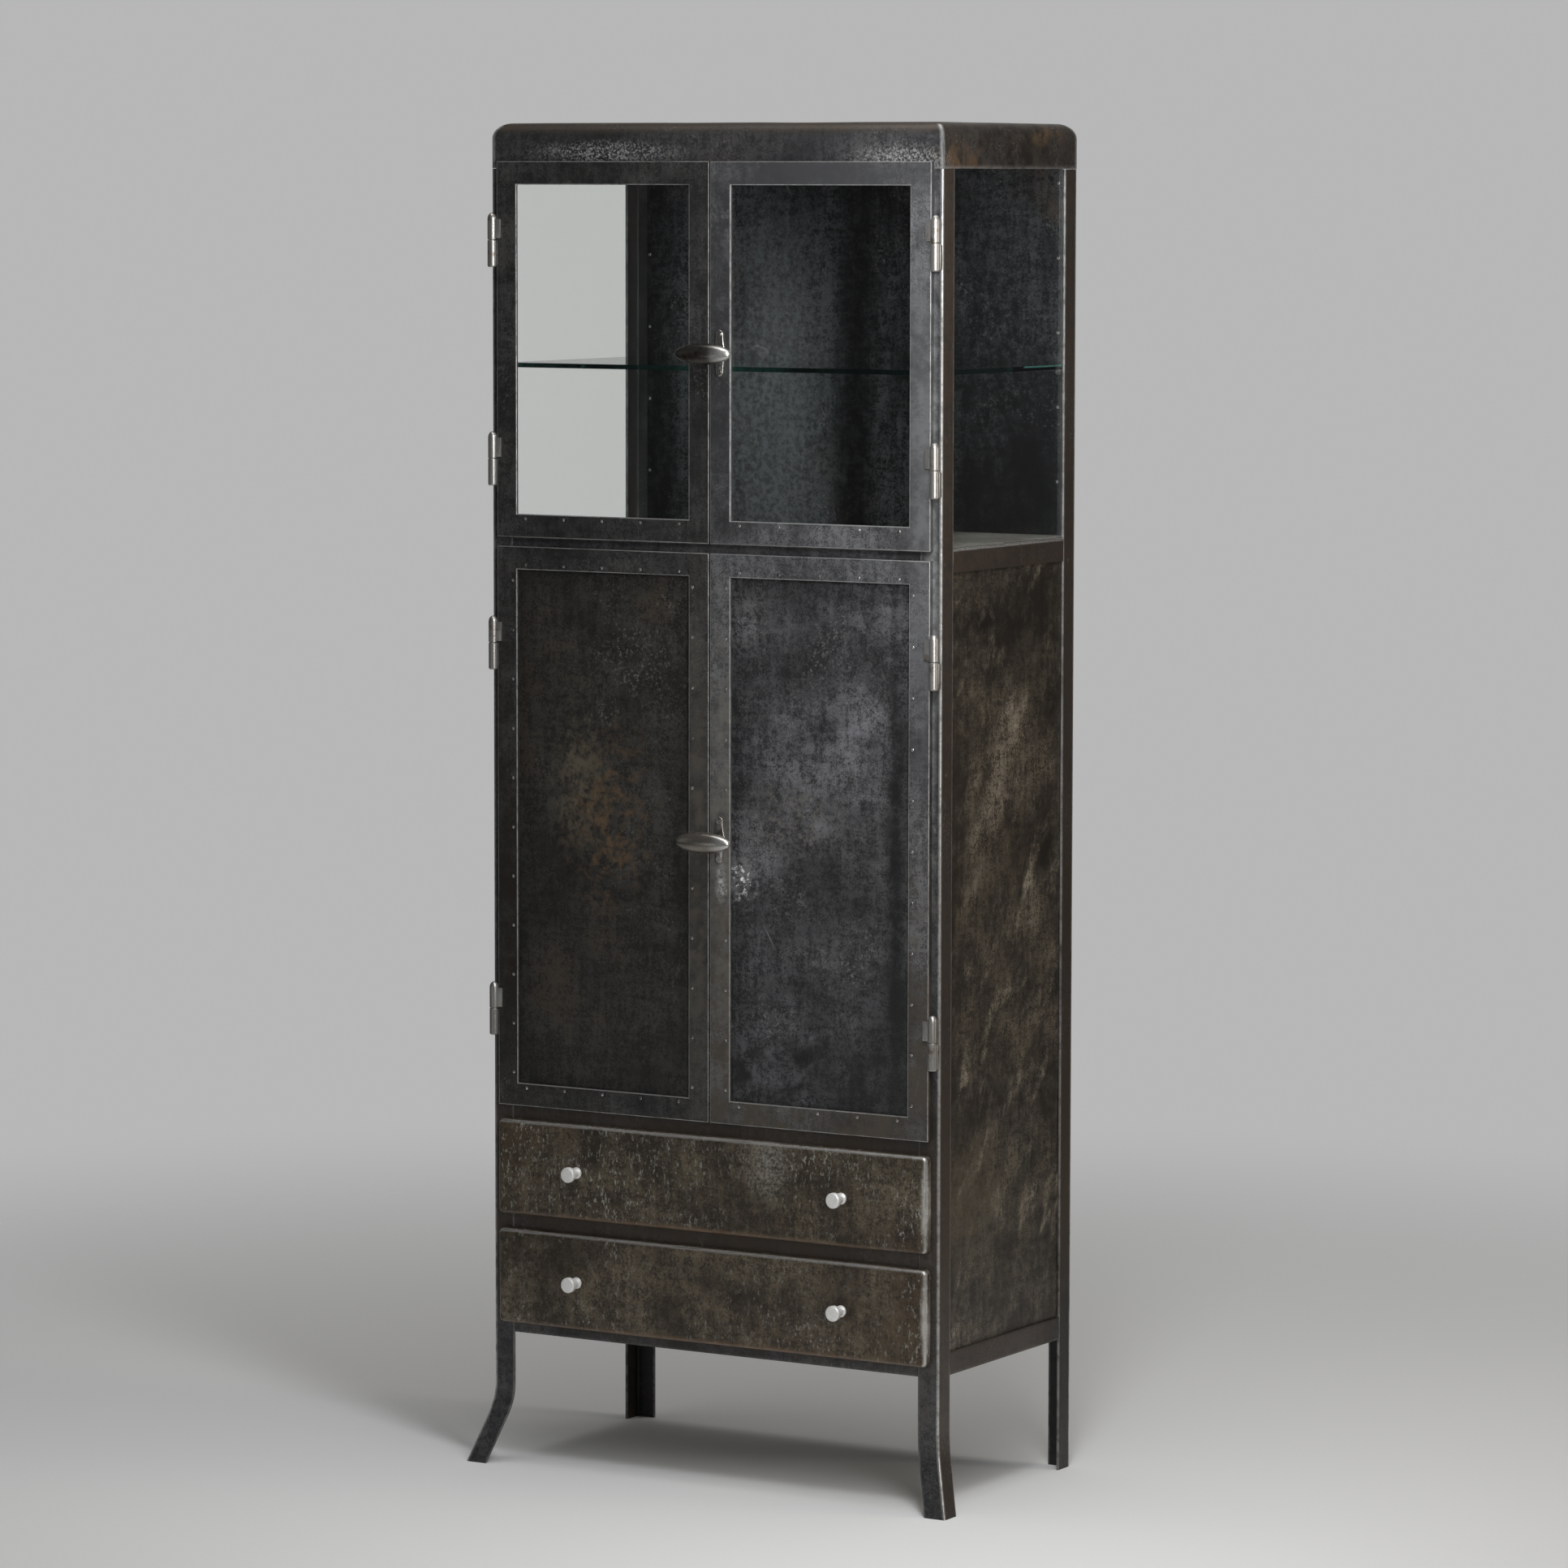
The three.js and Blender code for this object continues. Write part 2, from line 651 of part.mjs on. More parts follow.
function drawerKnob() {
  const head = knobLength - knobHeadDepth;
  const profile = [
    [0, -knobStudLength],
    [knobStudRadius, -knobStudLength],
    [knobStudRadius, 0],
    [knobFootRadius, 0],
    [knobFootRadius, knobEdge],
    [knobNeckRadius, knobFootRise],
    [knobNeckRadius, head],
    [knobHeadRadius, head + knobEdge],
    [knobHeadRadius, knobLength - knobEdge],
    [knobHeadRadius - knobEdge, knobLength],
    [0, knobLength],
  ].map(([radius, along]) => new THREE.Vector2(radius, along));
  return new THREE.LatheGeometry(profile, knobSides).rotateX(Math.PI);
}

function addDrawer(level, bottom) {
  const middle = bottom + drawerFrontHeight / 2;
  addPiece(`drawer_box_${level}`, drawerTray(level), panelSteel);
  const front = addPiece(`drawer_front_${level}`, drawerFront(), drawerSteel);
  front.position.z = middle;
  for (const side of [-1, 1]) {
    const knob = addPiece(`knob_${level}_${side < 0 ? 'left' : 'right'}`, drawerKnob(), aluminium);
    knob.position.set((side * knobSpread) / 2, -drawerProud - seat, middle);
  }
}

addDrawer('upper', upperDrawerZ);
addDrawer('lower', lowerDrawerZ);

// The origin stands on the floor, midway between the handles' fronts and the back of the posts
const frontReach = doorProud + oliveStandoff + oliveDepth / 2;
cabinet.position.y = (frontReach - depth) / 2;
cabinet.updateMatrixWorld(true);

export default cabinet;
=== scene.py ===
# %% [markdown]
# # A glazed steel medicine cabinet
# The cabinet is a carcass of angle iron and sheet steel with glass doors above, steel doors below and
# two drawers, on feet that sweep outwards. Its sizes, joints and plain solids come ready made, as a
# frame. This lesson dresses that frame: finer metalwork where an edge or a curve shows, rivets and
# screws, and finishes that are made of nodes.

# %% Load the frame
import json
import math

import bmesh
import bpy
from mathutils import Matrix, Vector, noise


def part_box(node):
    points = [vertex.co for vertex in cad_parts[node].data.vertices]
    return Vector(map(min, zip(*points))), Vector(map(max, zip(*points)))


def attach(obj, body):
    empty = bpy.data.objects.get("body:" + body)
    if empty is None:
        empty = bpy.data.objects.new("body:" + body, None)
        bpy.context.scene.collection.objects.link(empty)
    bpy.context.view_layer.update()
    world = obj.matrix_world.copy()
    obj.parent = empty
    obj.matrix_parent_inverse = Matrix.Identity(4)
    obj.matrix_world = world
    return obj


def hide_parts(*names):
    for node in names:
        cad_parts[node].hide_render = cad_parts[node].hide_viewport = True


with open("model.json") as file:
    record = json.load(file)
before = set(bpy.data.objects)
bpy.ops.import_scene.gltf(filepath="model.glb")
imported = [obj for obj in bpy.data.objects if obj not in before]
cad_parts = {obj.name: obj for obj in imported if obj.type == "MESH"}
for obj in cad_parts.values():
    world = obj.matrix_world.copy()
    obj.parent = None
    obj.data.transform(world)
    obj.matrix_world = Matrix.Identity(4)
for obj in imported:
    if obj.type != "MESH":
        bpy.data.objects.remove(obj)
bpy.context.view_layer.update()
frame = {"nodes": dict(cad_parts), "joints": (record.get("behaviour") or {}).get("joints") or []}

MM = 0.001
ANGLE_LEG = 30 * MM
HANDS = {"left": -1, "right": 1}
LEVELS = ("upper", "lower")

# %% [markdown]
# Everything below is measured from the frame. The rolled top gives the outer planes of the carcass, and
# each named piece gives its own box, so nothing is fitted by eye.

# %% Planes of the carcass
pan_low, pan_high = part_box("top_pan")
half_width = pan_high.x
front_y = pan_low.y
back_y = pan_high.y
print("carcass", round(2 * half_width, 4), "wide,", round(back_y - front_y, 4), "deep")

# %% [markdown]
# The camera stands well back with a long lens, a little above the middle of the cabinet and to its
# right. Its place and angles come from fitting a pinhole camera to the corners of the cabinet in the
# picture, so the render lines up with it. A camera looks along its own -Z, and its matrix is built from
# three directions.

# %% Camera
FRAME_PIXELS = 1932
FOCAL_PIXELS = 7834.13
SENSOR_MM = 36.0
CAMERA_PLACE = Vector((4.21103, -7.03942, 1.68170))
CAMERA_YAW = math.radians(30.766)
CAMERA_PITCH = math.radians(5.456)
CAMERA_ROLL = math.radians(0.0895)
CLIP_END = 100.0


def make_camera():
    ahead = Vector((
        -math.sin(CAMERA_YAW) * math.cos(CAMERA_PITCH),
        math.cos(CAMERA_YAW) * math.cos(CAMERA_PITCH),
        -math.sin(CAMERA_PITCH),
    ))
    right = Vector((math.cos(CAMERA_YAW), math.sin(CAMERA_YAW), 0))
    up = right.cross(ahead)
    turn = Matrix.Rotation(CAMERA_ROLL, 3, -ahead)
    axes = Matrix((turn @ right, turn @ up, -ahead)).transposed()
    data = bpy.data.cameras.new("camera")
    data.sensor_width = SENSOR_MM
    data.lens = FOCAL_PIXELS / FRAME_PIXELS * SENSOR_MM
    data.clip_end = CLIP_END
    camera = bpy.data.objects.new("camera", data)
    camera.matrix_world = Matrix.Translation(CAMERA_PLACE) @ axes.to_4x4()
    bpy.context.scene.collection.objects.link(camera)
    bpy.context.scene.camera = camera
    return camera


print("lens", round(make_camera().data.lens, 1), "mm")

# %% [markdown]
# Node trees are easier to read when each node is one call. The first helper below makes a node, sets
# its own settings, and gives each input either a value or a link, depending on what it is handed. The
# others are shorthand for the nodes that come up again and again. Every shared group of this lesson
# gives one mask.

# %% Helpers for node trees
MIX_COLOUR = {"factor": 0, "a": 6, "b": 7, "out": 2}


def add(tree, kind, inputs=None, **settings):
    node = tree.nodes.new(kind)
    for key, value in settings.items():
        setattr(node, key, value)
    for key, value in (inputs or {}).items():
        if isinstance(value, bpy.types.NodeSocket):
            tree.links.new(value, node.inputs[key])
        else:
            node.inputs[key].default_value = value
    return node


def mix_colour(tree, factor, a, b):
    inputs = {MIX_COLOUR["factor"]: factor, MIX_COLOUR["a"]: a, MIX_COLOUR["b"]: b}
    return add(tree, "ShaderNodeMix", inputs, data_type="RGBA").outputs[MIX_COLOUR["out"]]


def maths(tree, operation, a, b=0.0):
    return add(tree, "ShaderNodeMath", {0: a, 1: b}, operation=operation).outputs[0]


def vector_maths(tree, operation, a, b=(0, 0, 0)):
    return add(tree, "ShaderNodeVectorMath", {0: a, 1: b}, operation=operation).outputs


def ramp(tree, value, low, high, start=0.0, end=1.0):
    inputs = {"Value": value, "From Min": low, "From Max": high, "To Min": start, "To Max": end}
    return add(tree, "ShaderNodeMapRange", inputs, interpolation_type="SMOOTHSTEP").outputs["Result"]


def object_place(tree):
    return add(tree, "ShaderNodeTexCoord").outputs["Object"]


def noise_of(tree, place, scale, detail, roughness):
    inputs = {"Vector": place, "Scale": scale, "Detail": detail, "Roughness": roughness}
    return add(tree, "ShaderNodeTexNoise", inputs).outputs["Fac"]


def new_group(name, inputs):
    """A group with named inputs, which are numbers or vectors as their first values are."""
    tree = bpy.data.node_groups.new(name, "ShaderNodeTree")
    for label, value in inputs.items():
        kind = "NodeSocketFloat" if isinstance(value, float) else "NodeSocketVector"
        tree.interface.new_socket(label, in_out="INPUT", socket_type=kind).default_value = value
    tree.interface.new_socket("Mask", in_out="OUTPUT", socket_type="NodeSocketFloat")
    return tree, tree.nodes.new("NodeGroupInput").outputs


def give(tree, mask):
    """Ends a group with its mask."""
    tree.links.new(mask, tree.nodes.new("NodeGroupOutput").inputs["Mask"])
    return tree


def masked(tree, group, **inputs):
    """The mask of a group placed in a tree. A key such as patch_low sets the input Patch Low."""
    labelled = {key.replace("_", " ").title(): value for key, value in inputs.items()}
    return add(tree, "ShaderNodeGroup", labelled, node_tree=group).outputs["Mask"]


print("node helpers are ready")

# %% [markdown]
# Old steel that was stripped and waxed is never one colour. Most of what the eye sees can be built from
# a few masks, each a node group that is made once and placed in every finish with its own numbers. The
# first four are about tone: soft clouds, the fine grit of a wiped surface, the two together as a
# patina, and small flecks gathered in patches.

# %% Masks of tone
CLOUD_ROUGHNESS = 0.66
GRIT_SPAN = {"low": 0.36, "high": 0.66}
GRIT_LAYERS = (
    (0.28, {"scale": 110.0, "stretch": (1, 1, 0.14), "detail": 4.0}),
    (0.2, {"scale": 110.0, "stretch": (0.14, 0.14, 1), "detail": 4.0}),
    (0.25, {"scale": 45.0, "detail": 8.0}),
    (0.35, {"scale": 150.0, "detail": 5.0}),
    (0.5, {"scale": 420.0, "detail": 2.0}),
)
GRIT_SUM = (0.25, 1.15)
GRIT_MOST = 1.3
FLECK_EDGE = 0.12


def make_cloud_mask():
    tree, given = new_group("cloud_mask", {
        "Scale": 8.0, "Stretch": (1, 1, 1), "Axis": (0, 1, 0), "Turn": 0.0, "Low": 0.4, "High": 0.6,
        "Detail": 8.0,
    })
    turned = add(tree, "ShaderNodeVectorRotate", {
        "Vector": object_place(tree), "Axis": given["Axis"], "Angle": given["Turn"],
    }, rotation_type="AXIS_ANGLE").outputs[0]
    drawn = vector_maths(tree, "MULTIPLY", turned, given["Stretch"])["Vector"]
    cloud = noise_of(tree, drawn, given["Scale"], given["Detail"], CLOUD_ROUGHNESS)
    return give(tree, ramp(tree, cloud, given["Low"], given["High"]))


def make_grit_mask():
    tree, _ = new_group("grit_mask", {})
    total = 0.0
    for share, lie in GRIT_LAYERS:
        layer = masked(tree, CLOUD, **GRIT_SPAN, **lie)
        total = maths(tree, "ADD", total, maths(tree, "MULTIPLY", layer, share))
    return give(tree, ramp(tree, total, *GRIT_SUM, 0.0, GRIT_MOST))


def make_patina_mask():
    tree, given = new_group("patina_mask", {
        "Scale": 6.0, "Stretch": (1, 1, 1), "Axis": (0, 1, 0), "Turn": 0.0, "Low": 0.36, "High": 0.7,
        "Grit": 0.75,
    })
    lie = {label.lower(): given[label] for label in ("Scale", "Stretch", "Axis", "Turn", "Low", "High")}
    plain = maths(tree, "SUBTRACT", 1.0, given["Grit"])
    gritty = maths(tree, "MULTIPLY", masked(tree, GRIT), given["Grit"])
    share = maths(tree, "ADD", plain, gritty)
    return give(tree, maths(tree, "MULTIPLY", masked(tree, CLOUD, **lie), share))


def make_fleck_mask():
    tree, given = new_group("fleck_mask", {
        "Scale": 260.0, "Stretch": (1, 1, 1), "Low": 0.55,
        "Patch Scale": 9.0, "Patch Low": 0.45, "Patch High": 0.7,
    })
    place = object_place(tree)
    drawn = vector_maths(tree, "MULTIPLY", place, given["Stretch"])["Vector"]
    fine = noise_of(tree, drawn, given["Scale"], detail=3.0, roughness=0.65)
    patch = noise_of(tree, place, given["Patch Scale"], detail=5.0, roughness=0.6)
    speck = ramp(tree, fine, given["Low"], maths(tree, "ADD", given["Low"], FLECK_EDGE))
    patches = ramp(tree, patch, given["Patch Low"], given["Patch High"])
    return give(tree, maths(tree, "MULTIPLY", speck, patches))


CLOUD = make_cloud_mask()
GRIT = make_grit_mask()
PATINA = make_patina_mask()
FLECK = make_fleck_mask()
print("masks of tone:", ", ".join(group.name for group in (CLOUD, GRIT, PATINA, FLECK)))

# %% [markdown]
# The other four are about wear and place: hairline scratches, rubbed edges, the way a face points, and a
# torn spot at a given place. The last three also carry painted light and shade: more rub on edges that
# face the light, a painted tone on sideways faces, and painted patches. Rubbing needs to know where the
# edges are. The meshes say so in an attribute, rub, which is 1 on an edge and 0 a little way from it, and
# two noises break the line up.

# %% Masks of wear and painted light
RUB_FALL = 1.6
RUB_LEAST = 0.08
RUB_PLACES = 7.0
RUB_CHIPS = 70.0
CHIP_SPAN = (0.36, 0.6)
CHIP_LEAST = 0.4
NOISE_MIDDLE = 0.5
SPOT_CORE = 0.1


def make_scratch_mask():
    tree, given = new_group("scratch_mask", {"Scale": 26.0, "Turn": 0.5, "Length": 0.06, "Width": 0.045})
    turned = add(tree, "ShaderNodeVectorRotate", {
        "Vector": object_place(tree), "Angle": given["Turn"],
    }, rotation_type="Y_AXIS").outputs[0]
    along = add(tree, "ShaderNodeCombineXYZ", {"X": 1.0, "Y": 1.0, "Z": given["Length"]}).outputs[0]
    drawn = vector_maths(tree, "MULTIPLY", turned, along)["Vector"]
    dots = add(tree, "ShaderNodeTexVoronoi", {"Vector": drawn, "Scale": given["Scale"]}, feature="F1")
    return give(tree, ramp(tree, dots.outputs["Distance"], given["Width"], 0.0))


def make_rub_mask():
    tree, given = new_group("rub_mask", {"Amount": 1.0, "Where Low": 0.4, "Where High": 0.62})
    rub = add(tree, "ShaderNodeAttribute", attribute_name="rub").outputs["Fac"]
    place = object_place(tree)
    coarse = noise_of(tree, place, RUB_PLACES, detail=9.0, roughness=0.7)
    where = ramp(tree, coarse, given["Where Low"], given["Where High"], RUB_LEAST, 1.0)
    fine = noise_of(tree, place, RUB_CHIPS, detail=5.0, roughness=0.7)
    chipped = ramp(tree, fine, *CHIP_SPAN, CHIP_LEAST, 1.0)
    edge = maths(tree, "MULTIPLY", maths(tree, "POWER", rub, RUB_FALL), chipped)
    return give(tree, maths(tree, "MULTIPLY", maths(tree, "MULTIPLY", edge, where), given["Amount"]))


def make_facing_mask():
    tree, given = new_group("facing_mask", {"Direction": (0, 0, 1), "Low": 0.2, "High": 0.8})
    normal = add(tree, "ShaderNodeTexCoord").outputs["Normal"]
    toward = vector_maths(tree, "DOT_PRODUCT", normal, given["Direction"])["Value"]
    return give(tree, ramp(tree, maths(tree, "ABSOLUTE", toward), given["Low"], given["High"]))


def make_spot_mask():
    tree, given = new_group("spot_mask", {
        "Centre": (0, 0, 0), "Reach": (0.1, 0.1, 0.1), "Scale": 30.0, "Ragged": 0.6, "Solid": 0.0,
        "Low": 0.4, "High": 0.62,
    })
    place = object_place(tree)
    apart = vector_maths(tree, "SUBTRACT", place, given["Centre"])["Vector"]
    share = vector_maths(tree, "DIVIDE", apart, given["Reach"])["Vector"]
    far = vector_maths(tree, "LENGTH", share)["Value"]
    torn = noise_of(tree, place, given["Scale"], detail=7.0, roughness=0.7)
    frayed = maths(tree, "MULTIPLY", maths(tree, "SUBTRACT", NOISE_MIDDLE, torn), given["Ragged"])
    inside = ramp(tree, maths(tree, "ADD", far, frayed), 1.0, SPOT_CORE)
    holes = ramp(tree, torn, given["Low"], given["High"], given["Solid"], 1.0)
    return give(tree, maths(tree, "MULTIPLY", inside, holes))


SCRATCH = make_scratch_mask()
RUB = make_rub_mask()
FACING = make_facing_mask()
SPOT = make_spot_mask()
print("masks of wear:", ", ".join(group.name for group in (SCRATCH, RUB, FACING, SPOT)))

# %% [markdown]
# The waxed steel is one recipe with many settings. A dark tone is hazed with a paler one, browned where
# old rust was left, given a painted tone on the faces that look sideways, flecked where the paint came
# off in spots, wiped with broad strokes, and given spots of other tones at chosen places, some of them
# painted light and shade. On rubbed edges and in scratches it is bared to bright metal, which is
# smoother and fully metallic, while the dark skin is an oxide and only partly so. Each finish names only
# the settings in which it differs.

# %% Waxed steel
BARE_STEEL = (0.62, 0.61, 0.59, 1)
BARE_SMOOTHER = 0.08
SKIN_DEPTH = 0.15 * MM
SKIN_BUMP = 0.2
WAX_ROUGHNESS = 0.3
RUST_LEAST = 0.25
GRIME_AND_SHADE_LEAST = 0.5
FACE_SPAN = {"low": 0.1, "high": 0.8}
WAXED = {
    "dark": (0.016, 0.016, 0.016, 1), "pale": (0.085, 0.085, 0.087, 1),
    "haze_scale": 6.0, "haze_stretch": (1, 1, 1), "haze_span": (0.3, 0.66), "grit": 0.85,
    "brown": (0.055, 0.036, 0.022, 1), "brown_scale": 3.0, "brown_span": (0.52, 0.75),
    "brown_sides": 0.0, "brown_tops": 0.0,
    "flecks": 0.4, "fleck_tone": (0.26, 0.255, 0.24, 1), "fleck_stretch": (1, 1, 1),
    "fleck_patch": 9.0, "fleck_span": (0.48, 0.7),
    "strokes": (), "spots": (),
    "wear": 0.8, "where": (0.4, 0.62), "scratch": 0.25,
    "rough": (0.48, 0.36), "metallic": 0.3, "shine": 0.5, "coat": 0.06,
}


def new_material(name):
    material = bpy.data.materials.new(name)
    material.use_nodes = True
    tree = material.node_tree
    return material, tree, tree.nodes["Principled BSDF"]


def spot(tone, centre, reach, scale, solid=0.0, torn=(0.4, 0.62)):
    """A patch of another tone, as (tone, settings of the spot mask). It breaks up over the torn span of a
    noise, down to its solid share."""
    low, high = torn
    return tone, {"centre": centre, "reach": reach, "scale": scale, "solid": solid, "low": low, "high": high}


def spotted(tree, colour, spots):
    for tone, place in spots:
        colour = mix_colour(tree, masked(tree, SPOT, **place), colour, tone)
    return colour


print("settings of a waxed steel:", len(WAXED))

# %% [markdown]
# The recipe lays one mask after another over the colour, in the order in which the steel got them: its
# skin, the rust together with a painted tone on sideways faces, the flecks of paint, the strokes of the
# cloth, the grime together with painted shade at the edges of panels, and the spots, some of them painted
# light and shade. What was rubbed or scratched bare comes last, and it changes the roughness and the
# metal share too; on some edges the rub is also a painted highlight.

# %% Recipe of a waxed steel


def rust_and_painted_sides_mask(tree, look):
    low, high = look["brown_span"]
    rust_and_sides = masked(tree, CLOUD, scale=look["brown_scale"], low=low, high=high)
    # Faces that look sideways take the brown tone as well: a painted warm reflection on the frame and the
    # top, and painted shade on the sides of the doors.
    for direction, share in (((1, 0, 0), look["brown_sides"]), ((0, 0, 1), look["brown_tops"])):
        facing = masked(tree, FACING, direction=direction, **FACE_SPAN)
        rust_and_sides = maths(tree, "MAXIMUM", rust_and_sides, maths(tree, "MULTIPLY", facing, share))
    return maths(tree, "MULTIPLY", rust_and_sides, ramp(tree, masked(tree, GRIT), 0.0, 1.0, RUST_LEAST, 1.0))


def fleck_share(tree, look):
    low, high = look["fleck_span"]
    fleck = masked(tree, FLECK, stretch=look["fleck_stretch"], patch_scale=look["fleck_patch"],
                   patch_low=low, patch_high=high)
    return maths(tree, "MULTIPLY", fleck, look["flecks"])


def waxed_colour(tree, look):
    """The colour of the skin, and the mask of its paleness."""
    low, high = look["haze_span"]
    tone = masked(tree, PATINA, scale=look["haze_scale"], stretch=look["haze_stretch"], low=low, high=high,
                  grit=look["grit"])
    colour = mix_colour(tree, tone, look["dark"], look["pale"])
    colour = mix_colour(tree, rust_and_painted_sides_mask(tree, look), colour, look["brown"])
    colour = mix_colour(tree, fleck_share(tree, look), colour, look["fleck_tone"])
    for stroke_tone, lie in look["strokes"]:
        colour = mix_colour(tree, masked(tree, PATINA, **lie), colour, stroke_tone)
    # Darker near the edges of panels: grime and painted shade.
    grime_and_shade = add(tree, "ShaderNodeAttribute", attribute_name="grime_and_shade").outputs["Fac"]
    settled_and_shaded = maths(tree, "MULTIPLY", grime_and_shade, ramp(tree, masked(tree, GRIT), 0.0, 1.0, 1.0, GRIME_AND_SHADE_LEAST))
    colour = mix_colour(tree, settled_and_shaded, colour, look["dark"])
    return spotted(tree, colour, look["spots"]), tone


def waxed_steel(name, **changes):
    look = {**WAXED, **changes}
    material, tree, shader = new_material(name)
    colour, tone = waxed_colour(tree, look)
    scratches = maths(tree, "MULTIPLY", masked(tree, SCRATCH), look["scratch"])
    where_low, where_high = look["where"]
    worn = masked(tree, RUB, amount=look["wear"], where_low=where_low, where_high=where_high)
    bright = maths(tree, "MAXIMUM", worn, scratches)
    tree.links.new(mix_colour(tree, bright, colour, BARE_STEEL), shader.inputs["Base Color"])
    smooth = maths(tree, "MULTIPLY", bright, BARE_SMOOTHER)
    rough = maths(tree, "SUBTRACT", ramp(tree, tone, 0.0, 1.0, *look["rough"]), smooth)
    tree.links.new(rough, shader.inputs["Roughness"])
    tree.links.new(ramp(tree, bright, 0.0, 1.0, look["metallic"], 1.0), shader.inputs["Metallic"])
    bump = add(tree, "ShaderNodeBump", {"Height": tone, "Strength": SKIN_BUMP, "Distance": SKIN_DEPTH})
    tree.links.new(bump.outputs["Normal"], shader.inputs["Normal"])
    shader.inputs["Specular IOR Level"].default_value = look["shine"]
    shader.inputs["Coat Weight"].default_value = look["coat"]
    shader.inputs["Coat Roughness"].default_value = WAX_ROUGHNESS
    return material


print("recipe:", waxed_steel.__name__)

# %% [markdown]
# The angle iron is brown on its sides and low down, which is a painted warm reflection of the room and
# the floor. It is painted nearly black along the rear legs and high on the rear left post, as painted
# shade, and it is rubbed pale along the front of the right-hand post. The rolled top is mottled black
# and rusty on its right side, its sides carry the same painted warm reflection, and paint came off its
# front in two bands of fine specks. A spot is written as its tone, its centre and reach in metres, and
# the scale of its grain.

# %% Steel of the frame and the top
FRAME_STEEL = waxed_steel(
    "frame_steel", brown=(0.045, 0.029, 0.018, 1), brown_sides=0.85, wear=1.0, where=(0.28, 0.5),
    spots=(
        # Browner low down: a painted warm reflection of the floor.
        spot((0.05, 0.034, 0.021, 1), (0, 0, 0.37), (1.0, 1.0, 0.27), 30.0, solid=0.8),
        # Nearly black along the rear legs: painted shade.
        spot((0.006, 0.005, 0.0045, 1), (0, back_y, 0.1), (1.2, 0.12, 0.3), 30.0, solid=1.0),
        spot((0.24, 0.238, 0.233, 1), (half_width - 0.5 * ANGLE_LEG, front_y, 1.2), (0.014, 0.02, 0.6), 50.0,
             solid=0.5),
        # Nearly black high on the rear left post: painted shade.
        spot((0.006, 0.006, 0.006, 1), (-half_width, back_y, 1.45), (0.06, 0.06, 0.4), 30.0, solid=0.9),
    ),
)
SPECK_TONE = (0.34, 0.335, 0.32, 1)
TOP_STEEL = waxed_steel(
    "top_steel", pale=(0.075, 0.075, 0.077, 1), brown=(0.046, 0.031, 0.019, 1),
    # Its sideways faces take a painted warm reflection.
    brown_sides=0.6, brown_tops=0.9, wear=1.0, where=(0.25, 0.48),
    spots=(
        spot((0.016, 0.0125, 0.01, 1), (half_width, 0.03, 1.71), (0.05, 0.2, 0.07), 28.0),
        spot((0.09, 0.055, 0.03, 1), (half_width, -0.1, 1.7), (0.05, 0.08, 0.035), 45.0),
        spot((0.1, 0.066, 0.038, 1), (half_width, 0.12, 1.735), (0.05, 0.07, 0.02), 45.0),
        spot(SPECK_TONE, (-0.16, front_y, 1.712), (0.14, 0.05, 0.02), 420.0, torn=(0.48, 0.6)),
        spot(SPECK_TONE, (0.27, front_y, 1.7), (0.09, 0.05, 0.03), 420.0, torn=(0.47, 0.6)),
    ),
)
print("finishes:", FRAME_STEEL.name, TOP_STEEL.name)

# %% [markdown]
# The left-hand doors are darker and browner than the right-hand ones. Their edges are painted black
# where they face the gaps, as painted shade, which draws the gaps, and they are bared in front. A
# painted sheen lightens the right-hand stiles of the right doors, higher up. On the left panel a patch
# of rust was left, and on the right one the wax is cloudy, with white flakes below the handle, a darker
# bottom margin and painted shade along its right-hand margin.

# %% Steel of the doors
BARED = {"wear": 1.0, "where": (0.24, 0.48)}
# Black on the faces that look sideways into the gaps: painted shade.
SHADED_SIDES = {"brown": (0.006, 0.005, 0.0048, 1), "brown_sides": 1.0, "brown_span": (0.9, 1.0)}
DOOR_FRAMES = {
    "left": waxed_steel(
        "left_door_steel", dark=(0.009, 0.0086, 0.008, 1), pale=(0.064, 0.062, 0.059, 1),
        spots=(
            spot((0.018, 0.0135, 0.01, 1), (-0.36, front_y, 0.75), (0.34, 0.2, 0.5), 30.0, solid=0.5),
            spot((0.082, 0.072, 0.06, 1), (-0.02, front_y, 0.8), (0.035, 0.1, 0.5), 50.0, solid=0.4),
        ),
        **BARED, **SHADED_SIDES,
    ),
    "right": waxed_steel(
        "right_door_steel", dark=(0.02, 0.02, 0.0205, 1), pale=(0.155, 0.155, 0.158, 1),
        spots=(
            spot((0.035, 0.035, 0.036, 1), (0.05, front_y, 1.5), (0.17, 0.1, 0.4), 60.0, solid=0.4),
            spot((0.05, 0.05, 0.051, 1), (0.18, front_y, 1.685), (0.24, 0.1, 0.05), 60.0, solid=0.9),
            spot((0.165, 0.153, 0.136, 1), (0.02, front_y, 0.8), (0.035, 0.1, 0.45), 50.0, solid=0.4),
            # Paler up the right-hand stile of the right doors: a painted sheen.
            spot((0.13, 0.13, 0.133, 1), (0.31, front_y, 1.3), (0.035, 0.05, 0.5), 50.0, solid=0.5),
            spot((0.07, 0.057, 0.043, 1), (0.15, front_y, 0.55), (0.6, 0.2, 0.4), 30.0, solid=0.4),
            spot((0.5, 0.5, 0.49, 1), (0.018, front_y, 0.785), (0.012, 0.05, 0.03), 180.0),
        ),
        **BARED, **SHADED_SIDES,
    ),
}
